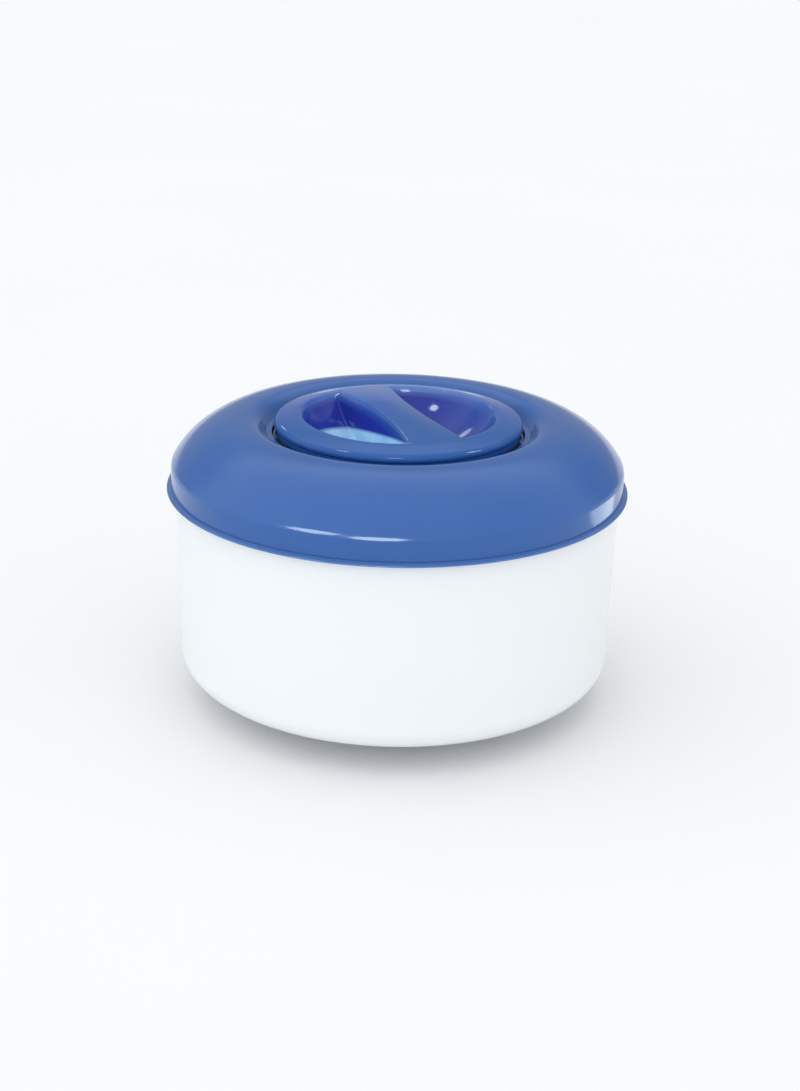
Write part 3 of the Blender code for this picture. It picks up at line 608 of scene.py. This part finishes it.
def rod_tool(name, rods, depth, segments):
    """Cutter of upright rods, each given as (radius, circle, angle in degrees)."""
    bm = bmesh.new()
    for radius, circle, angle in rods:
        rod = bmesh.ops.create_cone(
            bm, cap_ends=True, segments=segments, radius1=radius, radius2=radius, depth=depth)
        bmesh.ops.translate(bm, vec=polar(circle, math.radians(angle), 0.0), verts=rod["verts"])
    return tool_object(name, bm)


def apply_modifiers(piece):
    """Turn the Booleans' result into the piece's own mesh, then drop the tools."""
    graph = bpy.context.evaluated_depsgraph_get()
    bpy.context.view_layer.update()
    result = bpy.data.meshes.new_from_object(piece.evaluated_get(graph), depsgraph=graph)
    tools = [m.object for m in piece.modifiers]
    piece.modifiers.clear()
    piece.data = result
    for tool in tools:
        bpy.data.objects.remove(tool, do_unlink=True)


def round_cut_edges(piece):
    """Small rounding on the edges that the cuts left sharp."""
    bevel = piece.modifiers.new("broken edges", "BEVEL")
    bevel.width = CUT_EDGE_ROUNDING
    bevel.segments = 2
    bevel.limit_method = "ANGLE"
    bevel.angle_limit = math.radians(CUT_EDGE_ANGLE)
    bevel.use_clamp_overlap = True
    piece.data.shade_smooth()


# ================================================================ pieces in the frame
def hand_over(piece, body, node):
    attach(piece, body)
    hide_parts(node)


def finish_mesh(name, bm, material, body, node, modifiers=()):
    """One visible piece from its mesh, with (Boolean operation, tool) pairs applied."""
    bmesh.ops.remove_doubles(bm, verts=bm.verts[:], dist=MERGE_DISTANCE)
    bmesh.ops.recalc_face_normals(bm, faces=bm.faces[:])
    piece = scene_object(name, bm)
    piece.data.shade_smooth()
    piece.data.set_sharp_from_angle(angle=math.radians(SHARP_ANGLE))
    piece.data.materials.append(material)
    for kind, tool in modifiers:
        boolean = piece.modifiers.new(kind.lower(), "BOOLEAN")
        boolean.operation = kind
        boolean.solver = "EXACT"
        boolean.object = tool
    if modifiers:
        apply_modifiers(piece)
        round_cut_edges(piece)
    weigh = piece.modifiers.new("even shading", "WEIGHTED_NORMAL")
    weigh.keep_sharp = True
    weigh.weight = 80
    hand_over(piece, body, node)


def turned(name, outline, steps, material, body, node, modifiers=()):
    finish_mesh(name, turned_mesh(outline, steps), material, body, node, modifiers)


# ================================================================ float
def build_lid(material):
    shoulder = (SKIRT_RADIUS - SHOULDER_ROUNDING, SHOULDER_HEIGHT)
    width = shoulder[0] - CROWN_RADIUS
    height = CROWN_HEIGHT - shoulder[1]
    dome = (width ** 2 + height ** 2 - SHOULDER_ROUNDING ** 2) / (2 * (height - SHOULDER_ROUNDING))
    dome_centre = (CROWN_RADIUS, CROWN_HEIGHT - dome)
    join = math.degrees(math.atan2(shoulder[1] - dome_centre[1], width))
    recess = (CROWN_RADIUS, CROWN_HEIGHT - RECESS_ROUNDING)
    inside_dome = dome - SHELL_WALL
    seat_angle = math.degrees(math.acos((SEAT_INNER - CROWN_RADIUS) / inside_dome))

    outline = [(SKIRT_RADIUS, SKIRT_BOTTOM), (SKIRT_RADIUS, SKIRT_BOTTOM + SKIRT_STRAIGHT)]
    outline += arc(shoulder, SHOULDER_ROUNDING, 0, join, 14)
    outline += arc(dome_centre, dome, join, 90, 24)[1:]
    outline += arc(recess, RECESS_ROUNDING, 90, RECESS_END, 12)[1:]
    outline += [(COLLAR_OUTER, RECESS_FLOOR), (FLOAT_BORE, RECESS_FLOOR)]
    outline += [(FLOAT_BORE, COLLAR_BOTTOM), (COLLAR_OUTER, COLLAR_BOTTOM)]
    outline += [(COLLAR_OUTER, RECESS_FLOOR - SHELL_WALL)]
    outline += arc(recess, RECESS_ROUNDING - SHELL_WALL, RECESS_END, 90, 5)
    outline += arc(dome_centre, inside_dome, 90, seat_angle, 10)[1:]
    outline += [(SEAT_INNER, SEAT_HEIGHT), (SKIRT_RADIUS - SKIRT_WALL, SEAT_HEIGHT)]
    outline += [(SKIRT_RADIUS - SKIRT_WALL, SKIRT_BOTTOM)]
    outline = softened(outline, rounding=0.15 * MM)
    turned("lid_moulding", outline, OUTER_STEPS, material, "root", "float_lid")


def build_rim(material):
    inner = SPIGOT_RADIUS + GAP
    outline = [
        (inner, RIM_BOTTOM),
        (RIM_RADIUS, RIM_BOTTOM),
        (RIM_RADIUS, LIP_EDGE_TOP),
        (LIP_CREST_RADIUS, LIP_CREST_HEIGHT),
        (inner, LIP_CREST_HEIGHT),
    ]
    outline = softened(outline, rounding=0.3 * MM, steps=6)
    turned("rim_lip", outline, OUTER_STEPS, material, "root", "rim_ring")


def build_bowl(material):
    corner = (BOWL_LOW_RADIUS - BOWL_ROUNDING, BOWL_UNDERSIDE + BOWL_ROUNDING)
    step = RIM_BOTTOM - GAP
    outline = [(FLOAT_BORE, BOWL_UNDERSIDE), (FLOAT_BORE + BOWL_FOOT_WIDTH, BOWL_UNDERSIDE)]
    outline += arc(corner, BOWL_ROUNDING, -90, 0, 18)
    outline += [(BOWL_TOP_RADIUS, step), (SPIGOT_RADIUS, step), (SPIGOT_RADIUS, SPIGOT_TOP)]
    outline += [(SPIGOT_RADIUS - BOWL_WALL, SPIGOT_TOP)]
    outline += arc(corner, BOWL_ROUNDING - BOWL_WALL, 0, -90, 8)
    outline += [(FLOAT_BORE, BOWL_UNDERSIDE + BOWL_WALL)]
    outline = softened(outline, rounding=0.3 * MM)
    turned("bowl_moulding", outline, OUTER_STEPS, material, "root", "float_bowl")


def build_seals(material):
    gasket = rectangle(SPIGOT_RADIUS - GASKET_WIDTH, SPIGOT_RADIUS, *low_high("seam_gasket"))
    outline = softened(gasket, rounding=0.5 * MM, steps=4)
    turned("seam_gasket_ring", outline, OUTER_STEPS, material, "root", "seam_gasket")
    cords = {"lower_tube_seal": "root", "upper_tube_seal": "root", "cap_seal": "cap_seal"}
    for node, body in cords.items():
        low, high = low_high(node)
        section = (high - low) / 2
        centre = (radius_of(node) - section, (low + high) / 2)
        outline = arc(centre, section, 0, 360 - 360 / CORD_SIDES, CORD_SIDES - 1)
        turned(node + "_cord", outline, INNER_STEPS, material, body, node)
    band = rectangle(SLIDE_RING_INNER, radius_of("slide_ring"), *low_high("slide_ring"))
    outline = softened(band, rounding=0.25 * MM)
    turned("slide_ring_band", outline, INNER_STEPS, material, "basket", "slide_ring")


def build_tube(material):
    outline = [
        (TUBE_INNER, TUBE_BOTTOM),
        (TUBE_OUTER, TUBE_BOTTOM),
        (TUBE_OUTER, LOWER_FLANGE),
        (TUBE_FLANGE, LOWER_FLANGE),
        (TUBE_FLANGE, LOWER_FLANGE + FLANGE_THICKNESS),
        (TUBE_OUTER, LOWER_FLANGE + FLANGE_THICKNESS),
        (TUBE_OUTER, UPPER_FLANGE),
        (TUBE_FLANGE, UPPER_FLANGE),
        (TUBE_FLANGE, UPPER_FLANGE + FLANGE_THICKNESS),
        (TUBE_OUTER, UPPER_FLANGE + FLANGE_THICKNESS),
        (TUBE_OUTER, TUBE_TOP),
        (TUBE_INNER, TUBE_TOP),
    ]
    outline = softened(outline, rounding=0.3 * MM)
    turned("well_tube_moulding", outline, INNER_STEPS, material, "root", "well_tube")


def build_neck(material):
    outline = [
        (LEDGE_INNER, LEDGE_BOTTOM),
        (TUBE_OUTER, LEDGE_BOTTOM),
        (TUBE_OUTER, UPSTAND_TOP),
        (UPSTAND_INNER, UPSTAND_TOP),
        (UPSTAND_INNER, LEDGE_TOP),
        (LEDGE_INNER, LEDGE_TOP),
    ]
    gate = rectangle(
        LEDGE_INNER - 2 * OVERLAP, GATE_RADIUS, LEDGE_BOTTOM - OVERLAP, LEDGE_TOP + OVERLAP)
    stop = rectangle(STOP_INNER, STOP_OUTER, STOP_BOTTOM, LEDGE_BOTTOM + OVERLAP)
    stop_angles = [angle - STOP_ANGLE for angle in LUG_ANGLES]
    modifiers = [
        ("DIFFERENCE", sector_tool("gate_tool", gate, LUG_ANGLES, GATE_HALF_ANGLE, 16)),
        ("UNION", sector_tool("stop_tool", stop, stop_angles, STOP_HALF_ANGLE, 3)),
    ]
    turned("bayonet_neck", outline, INNER_STEPS, material,
           "root", "neck_ring", modifiers)


def build_bush(material):
    outline = [
        (BUSH_INNER, BUSH_BOTTOM),
        (BUSH_FLANGE, BUSH_BOTTOM),
        (BUSH_FLANGE, BOWL_UNDERSIDE - GAP),
        (BUSH_OUTER, BOWL_UNDERSIDE - GAP),
        (BUSH_OUTER, BUSH_TOP),
        (BUSH_INNER, BUSH_TOP),
    ]
    key = rectangle(KEY_INNER, KEY_OUTER, KEY_BOTTOM, KEY_TOP)
    modifiers = [("UNION", sector_tool("key_tool", key, KEY_ANGLES, KEY_HALF_ANGLE, 3))]
    turned("guide_bush_moulding", outline, INNER_STEPS, material,
           "root", "guide_bush", modifiers)


# ================================================================ tie ring
def build_tie_lug(material):
    corners = rounded_rectangle(PAD_HALF_WIDTH, PAD_BOTTOM, PAD_TOP, PAD_ROUNDING, 8, first=1)
    face = [(x, LUG_PAD_BACK, z) for x, z in corners]
    pad = extruded_mesh(face, (0, LUG_PAD_FRONT - LUG_PAD_BACK, 0))

    back = LUG_PAD_BACK + OVERLAP
    side = arc((RING_PIVOT.y, RING_PIVOT.z), EAR_ROUNDING, -90, 90, 24)
    side += [(back, RING_PIVOT.z + EAR_ROUNDING), (back, RING_PIVOT.z - EAR_ROUNDING - OVERLAP)]
    ear = extruded_mesh([(-EAR_HALF_WIDTH, y, z) for y, z in side], (2 * EAR_HALF_WIDTH, 0, 0))

    bore = bmesh.new()
    bmesh.ops.create_cone(bore, cap_ends=True, segments=40, radius1=LUG_HOLE, radius2=LUG_HOLE,
                          depth=8 * EAR_HALF_WIDTH)
    across = Matrix.Translation(RING_PIVOT) @ Matrix.Rotation(math.radians(90), 4, "Y")
    bmesh.ops.transform(bore, matrix=across, verts=bore.verts[:])
    modifiers = [
        ("UNION", tool_object("ear_tool", ear)),
        ("DIFFERENCE", tool_object("bore_tool", bore)),
    ]
    finish_mesh("tie_lug_moulding", pad, material, "root", "tie_lug", modifiers)


def build_tie_ring(material):
    """Ring of round wire that hangs from its pivot."""
    bm = bmesh.new()
    rows = []
    for i in range(RING_TURNS):
        turn = 2 * math.pi * i / RING_TURNS
        row = []
        for k in range(CORD_SIDES):
            side = 2 * math.pi * k / CORD_SIDES
            reach = RING_RADIUS + RING_WIRE * math.cos(side)
            place = Vector((
                reach * math.sin(turn),
                RING_WIRE * math.sin(side),
                reach * math.cos(turn) - RING_RADIUS,
            ))
            row.append(bm.verts.new(place + RING_PIVOT))
        rows.append(row)
    for i in range(RING_TURNS):
        for k in range(CORD_SIDES):
            bm.faces.new((rows[i - 1][k - 1], rows[i][k - 1], rows[i][k], rows[i - 1][k]))
    finish_mesh("tie_ring_loop", bm, material, "tie_ring", "tie_ring")


# ================================================================ cap
def smooth_step(value):
    value = min(max(value, 0.0), 1.0)
    return value * value * (3 - 2 * value)


def soft_ramp(value, rounding):
    """0 below zero and the value itself above, with a rounded start."""
    if value <= -rounding:
        return 0.0
    if value >= rounding:
        return value
    return (value + rounding) ** 2 / (4 * rounding)


def soft_minimum(first, second, rounding):
    blend = max(rounding - abs(first - second), 0.0) / rounding
    return min(first, second) - blend ** 2 * rounding / 4


def well_depth(along, across):
    inside = 1 - (math.hypot(along, across) / WELL_RADIUS) ** WELL_FLATNESS
    bowl = WELL_DEPTH * soft_ramp(inside, WELL_RIM_ROUNDING) ** WELL_STEEPNESS
    wall = BAR_WALL_SLOPE * soft_ramp(abs(across) - BAR_HALF_WIDTH, BAR_EDGE_ROUNDING)
    return max(soft_minimum(bowl, wall, WELL_CORNER_ROUNDING), 0.0)


def cap_point(along, across):
    """Point of the cap's top: a shallow dome, a wide grip bar over it and a well on each side."""
    inward = 1 - min(math.hypot(along, across) / CAP_SHOULDER_RADIUS, 1.0) ** 2
    ridge = BAR_RISE * inward * (1 - smooth_step(abs(across) / (BAR_HALF_WIDTH + BAR_RISE_FADE)))
    height = CAP_SHOULDER_HEIGHT + CAP_DOME_RISE * inward + ridge - well_depth(along, across)
    fade = min(1.0, abs(across) / BAR_HALF_WIDTH) * min(1.0, 4 * inward)
    shifted = across + math.copysign(BAR_FLARE * (along / WELL_RADIUS) ** 2 * fade, across)
    return Vector((
        along * math.cos(BAR_ANGLE) - shifted * math.sin(BAR_ANGLE),
        along * math.sin(BAR_ANGLE) + shifted * math.cos(BAR_ANGLE),
        height,
    ))


def cap_rows():
    """Places of the rows across the bar: fine on its edge and wall, and towards the wells' rims."""
    on_top, on_wall, over_well = CAP_ROWS
    wall_top = BAR_HALF_WIDTH - 2 * BAR_EDGE_ROUNDING
    wall_foot = BAR_HALF_WIDTH + WELL_DEPTH / BAR_WALL_SLOPE + MM
    rows = [wall_top * i / on_top for i in range(on_top)]
    rows += [wall_top + (wall_foot - wall_top) * i / on_wall for i in range(on_wall)]
    start = math.asin(wall_foot / CAP_SHOULDER_RADIUS)
    for i in range(over_well):
        side = start + (math.pi / 2 - start) * i / over_well
        rows.append(CAP_SHOULDER_RADIUS * math.sin(side))
    return [-row for row in rows[:0:-1]] + rows


def cap_edge():
    """(radius, height) steps from the shoulder down a short slope and round the edge."""
    centre = (CAP_RADIUS - CAP_EDGE_ROUNDING, CAP_EDGE_BOTTOM + CAP_EDGE_BAND)
    edge = arc(centre, CAP_EDGE_ROUNDING, CAP_EDGE_START, 0, 12) + [(CAP_RADIUS, CAP_EDGE_BOTTOM)]
    slope = []
    for i in range(1, 4):
        radius = (CAP_SHOULDER_RADIUS * (4 - i) + edge[0][0] * i) / 4
        slope.append((radius, (CAP_SHOULDER_HEIGHT * (4 - i) + edge[0][1] * i) / 4))
    return slope + edge


def cap_surface():
    """The cap's outer surface: the grid of its top, then rings down to its bottom edge."""
    bm = bmesh.new()
    first = bm.verts.new(cap_point(0.0, -CAP_SHOULDER_RADIUS))
    last = bm.verts.new(cap_point(0.0, CAP_SHOULDER_RADIUS))
    rows = []
    for across in cap_rows():
        reach = math.sqrt(CAP_SHOULDER_RADIUS ** 2 - across ** 2)
        row = []
        for k in range(CAP_COLUMNS + 1):
            share = 2 * k / CAP_COLUMNS - 1
            eased = 0.45 * share + 0.55 * math.sin(math.pi / 2 * share)  # closer near the rim
            row.append(bm.verts.new(cap_point(reach * eased, across)))
        rows.append(row)
    for k in range(CAP_COLUMNS):
        bm.faces.new((first, rows[0][k + 1], rows[0][k]))
        bm.faces.new((last, rows[-1][k], rows[-1][k + 1]))
    for low, high in zip(rows, rows[1:]):
        for k in range(CAP_COLUMNS):
            bm.faces.new((low[k], low[k + 1], high[k + 1], high[k]))
    loop = [first] + [row[-1] for row in rows] + [last] + [row[0] for row in rows[::-1]]
    for radius, height in cap_edge():
        outer = []
        for corner in loop:
            flat = corner.co.xy.normalized() * radius
            outer.append(bm.verts.new((flat.x, flat.y, height)))
        for k in range(len(loop)):
            bm.faces.new((loop[k - 1], outer[k - 1], outer[k], loop[k]))
        loop = outer
    bmesh.ops.recalc_face_normals(bm, faces=bm.faces[:])
    if sum(face.normal.z for face in bm.faces) < 0:
        bmesh.ops.reverse_faces(bm, faces=bm.faces[:])
    return bm


def build_cap_shell(material):
    piece = scene_object("cap_moulding", cap_surface())
    piece.data.shade_smooth()
    piece.data.materials.append(material)
    thicken = piece.modifiers.new("wall", "SOLIDIFY")
    thicken.thickness = CAP_THICKNESS
    thicken.offset = -1.0
    thicken.use_even_offset = True
    thicken.use_rim = True
    hand_over(piece, "cap", "cap_shell")


def build_cap_liner(material):
    outline = [
        (LINER_INNER, LINER_BOTTOM),
        (LINER_OUTER, LINER_BOTTOM),
        (LINER_OUTER, LINER_FLANGE),
        (LINER_FLANGE_RADIUS, LINER_FLANGE),
        (LINER_FLANGE_RADIUS, LINER_TOP),
        (LINER_INNER, LINER_TOP),
    ]
    lug = rectangle(LUG_ROOT, LUG_RADIUS, LUG_BOTTOM, LUG_TOP)
    modifiers = [("UNION", sector_tool("lug_tool", lug, LUG_ANGLES, LUG_HALF_ANGLE, 16))]
    turned("cap_liner_moulding", outline, INNER_STEPS, material,
           "cap", "cap_liner", modifiers)


# ================================================================ basket and vents
def build_basket(material):
    outline = [
        (BASKET_INNER, BASKET_BOTTOM),
        (BASKET_OUTER, BASKET_BOTTOM),
        (BASKET_OUTER, BEAD_BOTTOM),
        (BEAD_RADIUS, BEAD_BOTTOM),
        (BEAD_RADIUS, BEAD_TOP),
        (BASKET_OUTER, BEAD_TOP),
        (BASKET_OUTER, FLANGE_BOTTOM),
        (BASKET_FLANGE, FLANGE_BOTTOM),
        (BASKET_FLANGE, FLANGE_BOTTOM + RING_SEAT_EDGE),
        (RING_SEAT_FLOOR, FLANGE_BOTTOM + RING_SEAT_EDGE),
        (RING_SEAT_FLOOR, BASKET_TOP - RING_SEAT_EDGE),
        (BASKET_FLANGE, BASKET_TOP - RING_SEAT_EDGE),
        (BASKET_FLANGE, BASKET_TOP),
        (BASKET_INNER, BASKET_TOP),
    ]
    groove = rectangle(GROOVE_FLOOR, BASKET_OUTER + OVERLAP, GROOVE_BOTTOM, GROOVE_TOP)
    modifiers = [
        ("DIFFERENCE", sector_tool("groove_tool", groove, KEY_ANGLES, GROOVE_HALF_ANGLE, 4)),
        ("DIFFERENCE", slot_tool("slot_tool", BASKET_INNER - OVERLAP, BASKET_OUTER + OVERLAP)),
    ]
    turned("basket_moulding", outline, INNER_STEPS, material,
           "basket", "tablet_basket", modifiers)


def build_sleeve(material):
    outline = rectangle(SLEEVE_INNER, SLEEVE_OUTER, BASKET_BOTTOM, SLEEVE_TOP)
    slots = slot_tool("sleeve_tool", SLEEVE_INNER - OVERLAP, SLEEVE_OUTER + OVERLAP)
    turned("sleeve_moulding", outline, INNER_STEPS, material,
           "vent", "vent_sleeve", [("DIFFERENCE", slots)])


def build_dial(material):
    outline = [
        (DIAL_HOLE, 0.0),
        (DIAL_RADIUS - DIAL_EDGE, 0.0),
        (DIAL_RADIUS, DIAL_EDGE),
        (DIAL_RADIUS, DIAL_TOP - DIAL_EDGE),
        (DIAL_RADIUS - DIAL_EDGE, DIAL_TOP),
        (DIAL_COUNTERBORE, DIAL_TOP),
        (DIAL_COUNTERBORE, CLIP_BOTTOM - GAP),
        (DIAL_POCKET, CLIP_BOTTOM - GAP),
        (DIAL_POCKET, DIAL_FLOOR),
        (DIAL_HOLE, DIAL_FLOOR),
    ]
    outline = softened(outline, rounding=0.4 * MM)
    angles = [GRIP_START + 360.0 * i / GRIP_COUNT for i in range(GRIP_COUNT)]
    rods = [(GRIP_RADIUS, DIAL_RADIUS + DIAL_EDGE, angle) for angle in angles]
    modifiers = [("DIFFERENCE", rod_tool("notch_tool", rods, 4 * DIAL_TOP, 24))]
    turned("dial_moulding", outline, INNER_STEPS, material,
           "vent", "vent_dial", modifiers)


def build_grille(material):
    bottom = DIAL_FLOOR + GAP
    outer = SLEEVE_INNER - GAP
    outline = [
        (GRILLE_HUB - GRILLE_EDGE, 0.0),
        (GRILLE_HUB, GRILLE_EDGE),
        (GRILLE_HUB, bottom),
        (outer, bottom),
        (outer, GRILLE_TOP),
    ]
    rods = []
    for count, circle, radius in GRILLE_HOLES:
        rods += [(radius, circle, 360.0 * i / count) for i in range(count)]
    modifiers = [("DIFFERENCE", rod_tool("hole_tool", rods, 4 * GRILLE_TOP, 32))]
    bm = disc_mesh(outline, INNER_STEPS)
    finish_mesh("grille_moulding", bm, material, "vent", "base_grille", modifiers)


def build_clip(material):
    outline = softened(rectangle(BASKET_OUTER + GAP, CLIP_RADIUS, CLIP_BOTTOM, CLIP_TOP), 0.2 * MM)
    turned("dial_clip_ring", outline, INNER_STEPS, material, "vent", "dial_clip")


# ================================================================ stage
SHOULDER_SPOT = (-0.02, -0.08, SHOULDER_HEIGHT)
SKIRT_SPOT = (0.07, -0.04, SKIRT_BOTTOM)
CAP_SPOT = (0.0, 0.0, CAP_TOP)
LID = ("lid_moulding", "rim_lip")
CAP = ("cap_moulding",)
HIGHLIGHT_TINT = (0.85, 0.97, 1.0)
HIGHLIGHTS = (
    # name, place, target, width and height, power, pieces
    ("streak_left", (-0.90, -1.05, 0.60), SHOULDER_SPOT, (0.64, 0.66), 12.0, LID),
    ("streak_middle", (-0.20, -1.39, 0.33), SHOULDER_SPOT, (0.66, 0.64), 14.0, LID),
    ("skirt_right", (0.236, 0.078, 0.020), SKIRT_SPOT, (0.12, 0.04), 0.026, LID),
    ("cap_back", (-0.45, 0.98, 0.60), CAP_SPOT, (0.18, 0.11), 0.20, CAP),
    ("cap_over", (-0.52, 0.12, 1.18), CAP_SPOT, (0.18, 0.15), 1.3, CAP),
    ("cap_side", (0.85, -0.13, 0.72), CAP_SPOT, (0.18, 0.36), 2.0, CAP),
    ("cap_front", (-0.05, -0.80, 0.80), CAP_SPOT, (0.26, 0.14), 1.4, CAP),
)


def add_floor():
    bm = bmesh.new()
    bmesh.ops.create_grid(bm, x_segments=8, y_segments=8, size=12.0)
    floor = scene_object("studio_floor", bm)
    floor.data.materials.append(floor_material())


def add_highlight(name, place, target, size, power, pieces):
    """A lamp that only adds its mirror image to the given pieces."""
    data = bpy.data.lights.new(name, "AREA")
    data.shape = "ELLIPSE"
    data.size, data.size_y = size
    data.energy = power
    data.color = HIGHLIGHT_TINT
    lamp = bpy.data.objects.new(name, data)
    lamp.location = place
    lamp.rotation_euler = (Vector(target) - Vector(place)).to_track_quat("-Z", "Y").to_euler()
    lamp.visible_camera = False
    lamp.visible_diffuse = False
    bpy.context.scene.collection.objects.link(lamp)
    receivers = bpy.data.collections.new(name)
    for piece in pieces:
        receivers.objects.link(bpy.data.objects[piece])
    lamp.light_linking.receiver_collection = receivers


def add_world():
    """Even white surroundings, much dimmer low behind the object and a little on the right."""
    open_strength, low_behind_strength, right_share = 1.25, 0.44, 0.80
    world = bpy.data.worlds.new("studio")
    world.use_nodes = True
    n = Nodes(world.node_tree)
    x, y, z = n.parts(n.add("ShaderNodeTexCoord").outputs["Generated"])
    behind = n.ramp(y, 0.10, 0.75, curve="SMOOTHSTEP")
    low = n.ramp(z, 0.40, 0.80, 1.0, 0.0, curve="SMOOTHSTEP")
    both = n.math("MULTIPLY", behind, low)
    level = n.ramp(both, 0.0, 1.0, open_strength, low_behind_strength, curve="SMOOTHSTEP")
    right = n.ramp(x, 0.0, 0.9, 1.0, right_share, curve="SMOOTHSTEP")
    background = world.node_tree.nodes["Background"]
    background.inputs["Color"].default_value = (0.97, 0.985, 1.0, 1.0)
    n.link(n.math("MULTIPLY", level, right), background.inputs["Strength"])
    bpy.context.scene.world = world


def add_camera():
    """Three-quarter height view from the front, with the slight roll of a hand-held camera."""
    elevation = math.radians(21.01)
    roll = math.radians(1.19)
    forward = Vector((0.0, math.cos(elevation), -math.sin(elevation)))
    level_right = Vector((1.0, 0.0, 0.0))
    level_up = level_right.cross(forward)
    right = level_right * math.cos(roll) + level_up * math.sin(roll)
    up = level_up * math.cos(roll) - level_right * math.sin(roll)
    place = Vector((1.41, -623.77, 294.53)) * MM
    rotation = Matrix((right, up, -forward)).transposed()
    data = bpy.data.cameras.new("camera")
    data.sensor_width = 36.0
    data.lens = 60.4
    data.clip_start = 0.01
    data.clip_end = 50.0
    camera = bpy.data.objects.new("camera", data)
    camera.matrix_world = Matrix.Translation(place) @ rotation.to_4x4()
    bpy.context.scene.collection.objects.link(camera)
    bpy.context.scene.camera = camera


# ================================================================ assembly
def build():
    lid_blue = lid_material()
    cap_blue = cap_material()
    bowl_white = bowl_material()
    inner_white = inner_material()
    build_lid(lid_blue)
    build_rim(lip_material())
    build_bowl(bowl_white)
    build_seals(rubber_material())
    build_tube(inner_white)
    build_neck(lid_blue)
    build_bush(inner_white)
    build_tie_lug(bowl_white)
    build_tie_ring(tie_material())
    build_cap_liner(cap_blue)
    build_cap_shell(cap_blue)
    build_basket(inner_white)
    build_sleeve(inner_white)
    build_dial(dial_material())
    build_grille(inner_white)
    build_clip(inner_white)


build()
add_floor()
for highlight in HIGHLIGHTS:
    add_highlight(*highlight)
add_world()
add_camera()
bpy.context.scene.view_settings.view_transform = "Standard"
